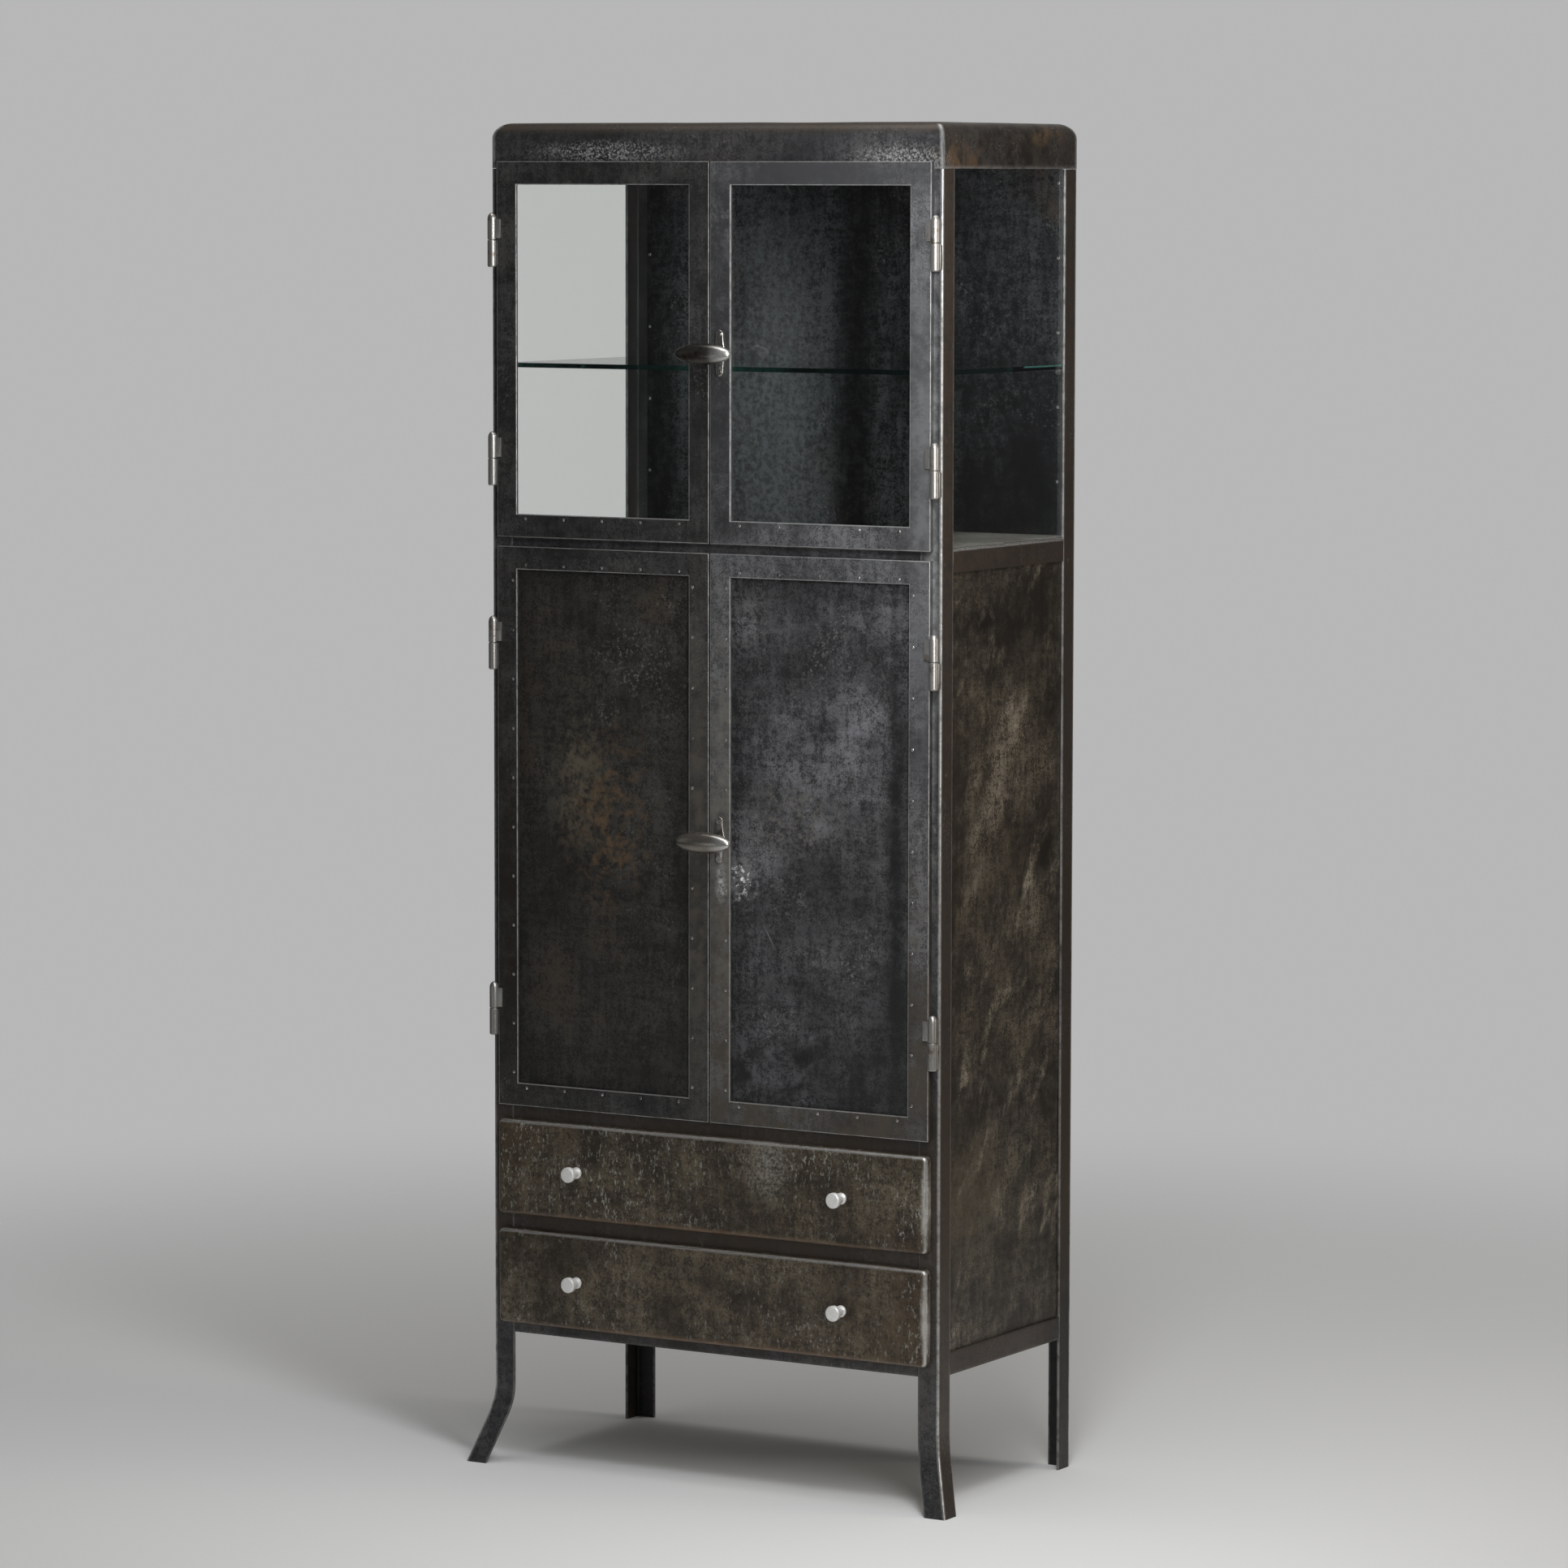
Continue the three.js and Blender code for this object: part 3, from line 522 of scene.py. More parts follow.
DOOR_PANELS = {
    "left": waxed_steel(
        "left_panel_steel", dark=(0.008, 0.0074, 0.0066, 1), pale=(0.058, 0.054, 0.047, 1),
        haze_span=(0.24, 0.72),
        spots=(
            spot((0.115, 0.072, 0.039, 1), (-0.155, front_y, 0.86), (0.09, 0.05, 0.16), 70.0,
                 torn=(0.46, 0.66)),
            spot((0.11, 0.09, 0.062, 1), (-0.2, front_y, 0.9), (0.06, 0.05, 0.12), 90.0),
        ),
    ),
    "right": waxed_steel(
        "right_panel_steel", dark=(0.011, 0.011, 0.0113, 1), pale=(0.115, 0.115, 0.118, 1),
        haze_span=(0.24, 0.74), flecks=0.6,
        strokes=(((0.21, 0.21, 0.225, 1), {"scale": 6.0, "low": 0.49, "high": 0.74, "grit": 0.9}),),
        spots=(
            spot((0.012, 0.0115, 0.011, 1), (0.12, front_y, 0.55), (0.3, 0.05, 0.07), 25.0, solid=0.5),
            # Darker along the right-hand margin of the right panel: painted shade.
            spot((0.01, 0.0098, 0.0095, 1), (0.272, front_y, 0.84), (0.022, 0.05, 0.5), 40.0, solid=0.6),
            spot((0.2, 0.2, 0.195, 1), (0.045, front_y, 0.795), (0.03, 0.05, 0.04), 110.0),
            spot((0.9, 0.9, 0.88, 1), (0.045, front_y, 0.788), (0.03, 0.05, 0.03), 130.0, torn=(0.54, 0.6)),
            spot((0.14, 0.131, 0.116, 1), (0.12, front_y, 0.87), (0.1, 0.05, 0.07), 140.0,
                 torn=(0.46, 0.64)),
        ),
    ),
}
print("finishes:", [steel.name for pair in (DOOR_FRAMES, DOOR_PANELS) for steel in pair.values()])

# %% [markdown]
# The side sheets were wiped with a cloth, slantwise, so two strokes of a paler tone lie across them, and
# they are darker just below the middle rail, as painted shade. The drawer fronts are the brownest steel
# of all, freckled with old paint, with rust along their lower edges and a bright right-hand end, which
# is wear and a painted highlight. Inside, the shelves and trays are plain dark steel, the floor is dusty,
# and the back is painted nearly black as painted shade, with a painted pool of light and painted
# shadows on it.

# %% Steel of the sides, the drawers and the inside
BRUSHED = {"stretch": (1, 1, 0.45), "axis": (1, 0, 0), "turn": math.radians(32)}
SIDE_STEEL = waxed_steel(
    "side_steel", dark=(0.014, 0.0105, 0.0075, 1), pale=(0.135, 0.112, 0.08, 1), haze_scale=9.0,
    haze_span=(0.3, 0.8), grit=0.95, brown=(0.04, 0.027, 0.018, 1), flecks=0.6,
    fleck_tone=(0.26, 0.22, 0.16, 1),
    strokes=(
        ((0.25, 0.213, 0.16, 1), {"scale": 8.0, "low": 0.48, "high": 0.78, "grit": 0.95, **BRUSHED}),
        ((0.33, 0.285, 0.215, 1), {"scale": 26.0, "low": 0.5, "high": 0.8, "grit": 0.9, **BRUSHED}),
    ),
    spots=(
        spot((0.02, 0.014, 0.009, 1), (half_width, -0.12, 0.85), (0.05, 0.08, 0.6), 40.0, solid=0.35),
        # Darker just below the middle side rail: painted shade under the rail.
        spot((0.012, 0.009, 0.007, 1), (0, 0.0, 1.12), (10.0, 0.3, 0.1), 30.0, solid=0.6),
        spot((0.085, 0.068, 0.041, 1), (0, -0.07, 0.39), (10.0, 0.14, 0.12), 100.0, solid=0.2),
    ),
)
RUST = (0.15, 0.08, 0.034, 1)
DRAWER_END_WEAR_AND_HIGHLIGHT = (0.42, 0.4, 0.36, 1)
END_INSET = 3 * MM
drawer_boxes = [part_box(f"drawer_front_{level}") for level in LEVELS]
drawer_wear_and_highlight = []
for low, _ in drawer_boxes:
    drawer_wear_and_highlight.append(spot(RUST, (0, front_y, low.z), (0.5, 0.1, 0.009), 60.0, solid=0.7))
# The bright right-hand ends are wear and a painted highlight.
for low, high in drawer_boxes:
    end = (high.x - END_INSET, front_y, 0.5 * (low.z + high.z))
    drawer_wear_and_highlight.append(spot(DRAWER_END_WEAR_AND_HIGHLIGHT, end, (0.007, 0.05, 0.075), 60.0, solid=0.5))
drawer_wear_and_highlight.append(spot((0.24, 0.23, 0.2, 1), (0.09, front_y, 0.43), (0.045, 0.05, 0.07), 230.0))
DRAWER_STEEL = waxed_steel(
    "drawer_steel", dark=(0.018, 0.0118, 0.0066, 1), pale=(0.132, 0.106, 0.07, 1),
    haze_scale=14.0, haze_span=(0.26, 0.72),
    brown=(0.07, 0.044, 0.023, 1), brown_span=(0.46, 0.7), brown_tops=0.6,
    flecks=1.0, fleck_tone=(0.28, 0.272, 0.235, 1), fleck_stretch=(1, 1, 0.5),
    fleck_patch=5.0, fleck_span=(0.36, 0.6),
    scratch=0.08, spots=drawer_wear_and_highlight, **BARED,
)
INNER_STEEL = waxed_steel(
    "inner_steel", dark=(0.02, 0.019, 0.018, 1), pale=(0.06, 0.058, 0.055, 1), scratch=0.1,
)
FLOOR_STEEL = waxed_steel(
    "floor_steel", dark=(0.12, 0.115, 0.1, 1), pale=(0.3, 0.285, 0.255, 1), scratch=0.1,
)
# The back is painted nearly black as painted shade for the inside, with a painted pool of light left of the
# middle and painted shade in three upright bands.
BACK_STEEL = waxed_steel(
    "back_steel", dark=(0.004, 0.0042, 0.0044, 1), pale=(0.05, 0.052, 0.054, 1), scratch=0.15, grit=0.9,
    haze_stretch=(1.6, 1, 0.6), rough=(0.6, 0.5), metallic=0.1, shine=0.08, coat=0.0,
    spots=(
        spot((0.1, 0.104, 0.107, 1), (-0.12, back_y, 1.32), (0.13, 1.0, 0.45), 120.0, solid=0.4),
        spot((0.004, 0.004, 0.004, 1), (-0.31, back_y, 1.35), (0.08, 1.0, 0.8), 60.0, solid=0.6),
        spot((0.003, 0.003, 0.003, 1), (0.01, back_y, 1.35), (0.05, 1.0, 0.8), 60.0, solid=0.8),
        spot((0.005, 0.005, 0.005, 1), (0.22, back_y, 1.3), (0.12, 1.0, 0.7), 60.0, solid=0.4),
    ),
)
plain_steels = (SIDE_STEEL, DRAWER_STEEL, INNER_STEEL, FLOOR_STEEL, BACK_STEEL)
print("finishes:", [steel.name for steel in plain_steels])

# %% [markdown]
# The hinges and rosettes are rubbed bright, the olives are a dark bronze that hands have polished, the
# knobs are turned aluminium. Bare metal takes its look from what it mirrors, so these finishes are
# short: a streaked colour, a roughness that changes with it, a little soil, and on the olives a few
# spots. The pale right-hand ends of the olives are wear and a painted highlight, and the lower olive is
# paler all over, as a painted highlight.

# %% Bright metals
STREAK_SPAN = {"low": 0.3, "high": 0.7, "detail": 3.0}
STREAK_SHARE = 0.3
STREAK_BUMP = 0.05
STREAK_DEPTH = 0.1 * MM
SOIL_DETAIL = 4.0


def bare_metal(name, light, dull, streak=(240.0, (1, 1, 0.06)), rough=(0.3, 0.48), soil=(30.0, 0.5, 0.75),
               metallic=1.0, spots=()):
    """Streaks are given as (scale, stretch), soil as (scale, low, high)."""
    material, tree, shader = new_material(name)
    scale, stretch = streak
    lines = masked(tree, CLOUD, scale=scale, stretch=stretch, **STREAK_SPAN)
    scale, low, high = soil
    soiled = masked(tree, CLOUD, scale=scale, low=low, high=high, detail=SOIL_DETAIL)
    shade = maths(tree, "MAXIMUM", maths(tree, "MULTIPLY", lines, STREAK_SHARE), soiled)
    colour = spotted(tree, mix_colour(tree, shade, light, dull), spots)
    tree.links.new(colour, shader.inputs["Base Color"])
    tree.links.new(ramp(tree, shade, 0.0, 1.0, *rough), shader.inputs["Roughness"])
    bump = add(tree, "ShaderNodeBump", {"Height": lines, "Strength": STREAK_BUMP, "Distance": STREAK_DEPTH})
    tree.links.new(bump.outputs["Normal"], shader.inputs["Normal"])
    shader.inputs["Metallic"].default_value = metallic
    return material


HINGE_STEEL = bare_metal(
    "hinge_steel", (0.42, 0.41, 0.39, 1), (0.17, 0.135, 0.1, 1), rough=(0.36, 0.42),
    streak=(60.0, (1, 1, 0.2)), soil=(45.0, 0.5, 0.72), metallic=0.85,
)
ROSETTE_STEEL = bare_metal(
    "rosette_steel", (0.55, 0.53, 0.5, 1), (0.12, 0.1, 0.075, 1), rough=(0.22, 0.38),
    soil=(60.0, 0.5, 0.74), metallic=0.95,
)
GRIP_END = 36 * MM
GRIP_MIDDLE = -15 * MM
GRIP_NECK = 32 * MM


def joint_place(name):
    return next(Vector(joint["pos_m"]) for joint in frame["joints"] if joint["name"] == name)


spindle_axis = {level: joint_place(f"{level}_handle_turn") for level in LEVELS}
grip_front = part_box("olive_upper")[0].y


def grip_spot(level, tone, along, behind, reach, scale, solid):
    """A spot on an olive, along its grip from the spindle and behind its front."""
    axis = spindle_axis[level]
    return spot(tone, (axis.x + along, grip_front + behind, axis.z), reach, scale, solid=solid)


# The lower olive paler all over: a painted highlight.
grip_wear_and_highlights = [grip_spot("lower", (0.24, 0.22, 0.19, 1), GRIP_MIDDLE, 0, (0.09, 0.06, 0.06), 60.0, 0.8)]
# Pale right-hand ends: wear and a painted highlight.
for level in LEVELS:
    grip_wear_and_highlights.append(grip_spot(level, (0.5, 0.49, 0.47, 1), GRIP_END, 0, (0.028, 0.04, 0.04), 40.0, 0.9))
for level in LEVELS:
    grip_wear_and_highlights.append(grip_spot(level, (0.5, 0.3, 0.16, 1), 0, GRIP_NECK, (0.02, 0.014, 0.02), 60.0, 0.8))
HANDLE_BRONZE = bare_metal(
    "handle_bronze", (0.075, 0.068, 0.06, 1), (0.022, 0.017, 0.013, 1), rough=(0.24, 0.32),
    streak=(90.0, (0.2, 1, 1)), soil=(40.0, 0.42, 0.7), metallic=0.8, spots=grip_wear_and_highlights,
)
KNOB_ALUMINIUM = bare_metal(
    "knob_aluminium", (0.86, 0.85, 0.83, 1), (0.5, 0.48, 0.44, 1), rough=(0.38, 0.5),
    streak=(300.0, (1, 0.1, 1)), soil=(90.0, 0.6, 0.85), metallic=0.35,
)
RIVET_STEEL = bare_metal(
    "rivet_steel", (0.5, 0.49, 0.47, 1), (0.03, 0.027, 0.024, 1), rough=(0.25, 0.4),
    soil=(150.0, 0.45, 0.65), metallic=0.8,
)
metals = (HINGE_STEEL, ROSETTE_STEEL, HANDLE_BRONZE, KNOB_ALUMINIUM, RIVET_STEEL)
print("finishes:", [metal.name for metal in metals])

# %% [markdown]
# Glass bends light through both faces of its pane. A lamp's rays can't find their way through such a
# shader, so for them alone the pane is plain transparent, and the shelves behind it are lit. Plate
# glass is green when seen along its length, which is why its cut edges take a green tint.

# %% Glass
GLASS_IOR = 1.5
FLAT_SPAN = {"low": 0.5, "high": 0.7}
PANE = {"face": (0.98, 0.985, 0.98, 1), "edge": (0.35, 0.6, 0.5, 1)}
SHELF = {"face": (0.93, 0.97, 0.95, 1), "edge": (0.13, 0.38, 0.32, 1)}


def plate_glass(name, face, edge, across):
    """Glass whose large faces look along across and whose other faces are its cut edges."""
    material, tree, shader = new_material(name)
    flat = masked(tree, FACING, direction=across, **FLAT_SPAN)
    tree.links.new(mix_colour(tree, flat, edge, face), shader.inputs["Base Color"])
    shader.inputs["Roughness"].default_value = 0.0
    shader.inputs["Transmission Weight"].default_value = 1.0
    shader.inputs["IOR"].default_value = GLASS_IOR
    path = add(tree, "ShaderNodeLightPath")
    clear = add(tree, "ShaderNodeBsdfTransparent", {"Color": face})
    mixed = add(tree, "ShaderNodeMixShader", {
        0: path.outputs["Is Shadow Ray"], 1: shader.outputs[0], 2: clear.outputs[0],
    })
    tree.links.new(mixed.outputs[0], tree.nodes["Material Output"].inputs["Surface"])
    return material


DOOR_GLASS = plate_glass("door_glass", **PANE, across=(0, 1, 0))
SIDE_GLASS = plate_glass("side_glass", **PANE, across=(1, 0, 0))
SHELF_GLASS = plate_glass("shelf_glass", **SHELF, across=(0, 0, 1))
print("glasses:", DOOR_GLASS.name, SIDE_GLASS.name, SHELF_GLASS.name)

# %% [markdown]
# A mesh worked in code becomes a piece in three steps. Its normals are turned outwards, it is shaded
# smooth with its sharp edges kept, and it gets its finish and is hung on the body that it rides on, while
# the plain solids that it stands for are hidden.

# %% Helpers for pieces
CREASE = math.radians(35)


def shaded(mesh, crease=CREASE):
    """Shades a mesh smooth, apart from the edges that turn by more than the crease."""
    mesh.shade_smooth()
    mesh.set_sharp_from_angle(angle=crease)
    return mesh


def to_mesh(bm, name):
    bmesh.ops.recalc_face_normals(bm, faces=bm.faces)
    mesh = bpy.data.meshes.new(name)
    bm.to_mesh(mesh)
    bm.free()
    return shaded(mesh)


def placed(name, data):
    thing = bpy.data.objects.new(name, data)
    bpy.context.scene.collection.objects.link(thing)
    return thing


def keep(name, mesh, material, body, slot, *replaced):
    piece = placed(name, mesh)
    mesh.materials.clear()
    mesh.materials.append(material)
    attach(piece, body)
    if replaced:
        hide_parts(*replaced)
    return piece


print("piece helpers are ready")

# %% [markdown]
# Rolled and folded steel has no truly sharp corners, and it is the small arcs at its corners that catch
# the light. A bevel modifier could round them, but it knows nothing of wear. So the arcs are drawn into
# the outline itself, and each corner also says how far it is rubbed.

# %% Helpers for outlines
ARC_STEPS = 3
RUB_FADE = 3 * MM
FADE_ROOM = 0.45


def corner_arc(here, ways, radius, steps):
    """Points of the arc that rounds off a corner, and how far from the corner it begins."""
    half = ways[0].angle(ways[1]) / 2
    tangent = radius / math.tan(half)
    centre = here + (ways[0] + ways[1]).normalized() * (radius / math.sin(half))
    spokes = [here + way * tangent - centre for way in ways]
    turned = [spokes[0].lerp(spokes[1], step / steps).normalized() * radius for step in range(steps + 1)]
    return [(centre.x + spoke.x, centre.y + spoke.y) for spoke in turned], tangent


def rounded(corners, reach=RUB_FADE):
    """Points (x, y, rub) of a closed outline. Each corner (x, y, radius, rub) becomes an arc, and a rubbed
    one gets a point a little way along each side, where the rubbing has faded out."""
    points = []
    for i, (x, y, radius, rub) in enumerate(corners):
        here = Vector((x, y))
        sides = [Vector(end[:2]) - here for end in (corners[i - 1], corners[(i + 1) % len(corners)])]
        ways = [side.normalized() for side in sides]
        arc, tangent = corner_arc(here, ways, radius, ARC_STEPS)
        fades = []
        for side, way in zip(sides, ways):
            fade = here + way * (tangent + reach)
            has_room = rub and reach < FADE_ROOM * side.length
            fades.append([(fade.x, fade.y, 0.0)] if has_room else [])
        points += fades[0] + [(*place, rub) for place in arc] + fades[1]
    return points


print("outline helpers are ready")

# %% [markdown]
# The forms come from two ways of working. A section is carried through a few stations and skinned, or a
# profile is turned as on a lathe. Blender has curves and a screw modifier for this. Code is used here
# because each point of a work also carries a number, rub, which the finishes read.

# %% Helpers for forms
LATHE_SIDES = 40


def new_work():
    bm = bmesh.new()
    return bm, bm.verts.layers.float.new("rub")


def skin(bm, rings, joined_ends=False):
    pairs = list(zip(rings, rings[1:]))
    if joined_ends:
        pairs.append((rings[-1], rings[0]))
    for first, second in pairs:
        for i in range(len(first)):
            bm.faces.new((first[i - 1], first[i], second[i], second[i - 1]))


def swept(bm, rub_layer, section, stations):
    """Carries a section through stations, each a function from the section's (x, y) to a point in space."""
    rings = []
    for station in stations:
        ring = []
        for x, y, rub in section:
            vert = bm.verts.new(station(x, y))
            vert[rub_layer] = rub
            ring.append(vert)
        rings.append(ring)
    return rings


def lathe(bm, profile, origin, axis, sides=LATHE_SIDES):
    """Turns a profile of (radius, distance along axis) that starts and ends on the axis."""
    axis = Vector(axis).normalized()
    side = axis.orthogonal().normalized()
    other = axis.cross(side)
    rings = []
    for radius, along in profile:
        middle = Vector(origin) + axis * along
        if radius == 0:
            rings.append([bm.verts.new(middle)])
            continue
        turns = [2 * math.pi * i / sides for i in range(sides)]
        spokes = [side * math.cos(t) + other * math.sin(t) for t in turns]
        rings.append([bm.verts.new(middle + radius * spoke) for spoke in spokes])
    for first, second in zip(rings, rings[1:]):
        if len(first) == 1 or len(second) == 1:
            tip, ring = (first[0], second) if len(first) == 1 else (second[0], first)
            for i in range(sides):
                bm.faces.new((tip, ring[i - 1], ring[i]))
        else:
            skin(bm, [first, second])


def capped(bm, *rings):
    ends = [bm.faces.new(ring) for ring in rings]
    bmesh.ops.triangulate(bm, faces=ends)


print("form helpers are ready")

# %% [markdown]
# The four posts are angle iron. A rolled angle has a sharp outer corner, slightly rounded toes and a
# fillet inside, and the outer corner is where hands and brooms rub it bright. A section bevelled along
# a curve would twist where the foot bends. So the section is carried up through level stations, and on
# the front posts the lowest of them swing out and forward to make the foot.

# %% Posts
ANGLE_WALL = 3 * MM
SHEET_WALL = 1.5 * MM
FOOT_KNEE = 105 * MM
FOOT_CURVE = 45 * MM
FOOT_STEPS = 14
STUD_RADIUS = 3.5 * MM
STUD_REACH = 24 * MM
STUD_SIDES = 24
SEAT = 0.25 * MM
HEEL_RADIUS = 1.2 * MM
TOE_RADIUS = 0.7 * MM
FILLET = 3 * MM
FRONT_TOE_RUB = 0.4
REAR_TOE_RUB = 0.5
RAIL_TOE_RUB = 0.05
LOW_CORNER_RUB = 0.15


def angle_section(across, along, toe_rub, corner_rub=1.0):
    """Angle iron with its outer corner at the origin and its legs along the signs of across and along."""
    corners = [
        (0, 0, HEEL_RADIUS, corner_rub),
        (ANGLE_LEG, 0, TOE_RADIUS, toe_rub),
        (ANGLE_LEG, ANGLE_WALL, TOE_RADIUS, toe_rub),
        (ANGLE_WALL, ANGLE_WALL, FILLET, 0.0),
        (ANGLE_WALL, ANGLE_LEG, TOE_RADIUS, toe_rub),
        (0, ANGLE_LEG, TOE_RADIUS, toe_rub),
    ]
    return rounded([(across * x, along * y, radius, rub) for x, y, radius, rub in corners])


def foot_swing(z):
    straight = FOOT_KNEE - FOOT_CURVE
    total = straight + FOOT_CURVE / 2
    if z >= FOOT_KNEE:
        return 0.0
    if z >= straight:
        return (FOOT_KNEE - z) ** 2 / (2 * FOOT_CURVE) / total
    return (FOOT_CURVE / 2 + straight - z) / total


def make_post(side, is_front):
    name = f"post_{'front' if is_front else 'rear'}_{'left' if side < 0 else 'right'}"
    low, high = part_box(name)
    corner_y = front_y if is_front else back_y
    inward = 1 if is_front else -1
    swing_x = (high.x - half_width if side > 0 else low.x + half_width) if is_front else 0.0
    swing_y = low.y - front_y if is_front else 0.0
    knee = [FOOT_KNEE - FOOT_CURVE * (1 - i / FOOT_STEPS) for i in range(FOOT_STEPS + 1)]
    levels = [0.0, *knee, high.z]

    def station(z):
        swing = foot_swing(z)
        return lambda x, y: (side * half_width + x + swing_x * swing, corner_y + y + swing_y * swing, z)

    bm, rub = new_work()
    section = angle_section(-side, inward, FRONT_TOE_RUB if is_front else REAR_TOE_RUB)
    rings = swept(bm, rub, section, [station(z) for z in levels])
    skin(bm, rings)
    capped(bm, rings[0], rings[-1])
    stud_profile = [(0, -ANGLE_WALL / 2), (STUD_RADIUS, -ANGLE_WALL / 2), (STUD_RADIUS, STUD_REACH - MM),
                    (STUD_RADIUS - MM, STUD_REACH), (0, STUD_REACH)]
    stud_x = side * (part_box("back_panel")[1].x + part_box("side_glass_right")[0].x) / 2
    for shelf in ("glass_shelf", "steel_shelf"):
        shelf_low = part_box(shelf)[0].z if shelf == "glass_shelf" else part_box(shelf)[1].z - SHEET_WALL
        root = (stud_x, corner_y + inward * ANGLE_WALL, shelf_low - SEAT - STUD_RADIUS)
        lathe(bm, stud_profile, root, (0, inward, 0), STUD_SIDES)
    return keep(name + "_bar", to_mesh(bm, name), FRAME_STEEL, "carcass", "frame_steel", name)


posts = [make_post(side, is_front) for side in HANDS.values() for is_front in (True, False)]
print("posts:", [len(post.data.polygons) for post in posts])

# %% [markdown]
# The rails are the same angle iron, cut to fit between the posts. The frame's boxes say where each
# runs, and the corner of the angle lies on the outer plane of the carcass, at the top or at the bottom
# of the box.

# %% Rails


def make_rail(name, along_x, corner_at_top):
    low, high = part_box(name)
    corner_z = high.z if corner_at_top else low.z
    upward = -1 if corner_at_top else 1
    corner_rub = 1.0 if corner_at_top else LOW_CORNER_RUB
    bm, rub = new_work()
    if along_x:
        section = angle_section(1, upward, RAIL_TOE_RUB, corner_rub)
        stations = [lambda x, y, end=end: (end, front_y + x, corner_z + y) for end in (low.x, high.x)]
    else:
        side = 1 if low.x > 0 else -1
        section = angle_section(-side, upward, RAIL_TOE_RUB, corner_rub)
        plane_x = side * half_width
        stations = [lambda x, y, end=end: (plane_x + x, end, corner_z + y) for end in (low.y, high.y)]
    rings = swept(bm, rub, section, stations)
    skin(bm, rings)
    capped(bm, *rings)
    return keep(name + "_bar", to_mesh(bm, name), FRAME_STEEL, "carcass", "frame_steel", name)


rails = [make_rail(name, True, True) for name in ("mid_rail", "drawer_top_rail", "drawer_mid_rail")]
rails.append(make_rail("bottom_rail", True, False))
for hand in HANDS:
    rails.append(make_rail(f"side_rail_mid_{hand}", False, True))
    rails.append(make_rail(f"side_rail_bottom_{hand}", False, False))
print("rails:", len(rails))

# %% [markdown]
# The top and the drawer fronts are pans, pressed from sheet over a former. A solidified surface would
# give the wall, but its inside has its own tighter bend, so both sides are drawn as one profile: down
# the outside, round the rim and up the inside. Sheet that was handled for years also has shallow dents.
# They need points to bend at, so a pressing is sliced first.

# %% Pressed sheet
BEND_STEPS = 10
RUB_REACH = 6 * MM
RUB_SHARPNESS = 4
DENT_CELL = 25 * MM
DENT_DEPTH = 0.9 * MM
DENT_SCALE = 9.0


def sliced(bm, axis, places):
    """Cuts new edges into a work where planes square to an axis pass through it."""
    normal = Vector((0, 0, 0))
    normal[axis] = 1
    for place in places:
        everything = [*bm.verts, *bm.edges, *bm.faces]
        bmesh.ops.bisect_plane(bm, geom=everything, plane_co=normal * place, plane_no=normal)


def dented(bm, depth, scale):
    """Presses a work in here and there along its normals. Nothing is pushed outwards."""
    bmesh.ops.recalc_face_normals(bm, faces=bm.faces)
    bm.normal_update()
    moves = [(vert, vert.normal * depth * min(0.0, noise.noise(vert.co * scale))) for vert in bm.verts]
    for vert, move in moves:
        vert.co += move


def spaced(start, end, pitch):
    """Even steps from start to end, as near to the pitch as they divide."""
    count = max(1, round((end - start) / pitch))
    return [start + (end - start) * i / count for i in range(count + 1)]


def bend(radius, steps, start_inset, drop_start):
    """Points (inset, drop) over a quarter bend, from the flat to the skirt."""
    turns = [math.pi / 2 * i / steps for i in range(steps + 1)]
    return [(start_inset - radius * math.sin(t), drop_start + radius * (1 - math.cos(t))) for t in turns]


def pan_profile(radius, wall, skirt, rub_bend, rub_rim):
    """Points (inset, drop, rub) down the outside of a pressed pan, round its rim and up the inside."""
    outside = [(inset, drop, rub_bend * math.sin(math.pi * i / BEND_STEPS) ** RUB_SHARPNESS)
               for i, (inset, drop) in enumerate(bend(radius, BEND_STEPS, radius, 0))]
    rim = [(0, skirt - RUB_REACH, 0.0), (0, skirt, rub_rim), (wall, skirt, rub_rim)]
    inside = [(inset, drop, 0.0) for inset, drop in reversed(bend(radius - wall, BEND_STEPS, radius, wall))]
    return outside + rim + inside


def pressed(bm, rings, low, high, axes):
    """Closes the rings of a pressing, and dents it at slices across the given axes."""
    skin(bm, rings)
    for ring in (rings[0], rings[-1]):
        bm.faces.new(ring)
    for axis in axes:
        sliced(bm, axis, spaced(low[axis], high[axis], DENT_CELL)[1:-1])
    dented(bm, DENT_DEPTH, DENT_SCALE)


print("pressing helpers are ready")

# %% [markdown]
# The rolled top is one sheet with its edges bent down, welded at the mitred corners and ground flush. A
# bevelled box would have ball corners, so the pan's profile is repeated round a rectangle instead. Each
# ring has a point at the corner and one on either side of it, so the rubbed corner can fade out.

# %% Rolled top
PAN_RADIUS = 20 * MM
PAN_WALL = 2 * MM
RIM_RUB = 0.4
X_AXIS, Y_AXIS, Z_AXIS = 0, 1, 2


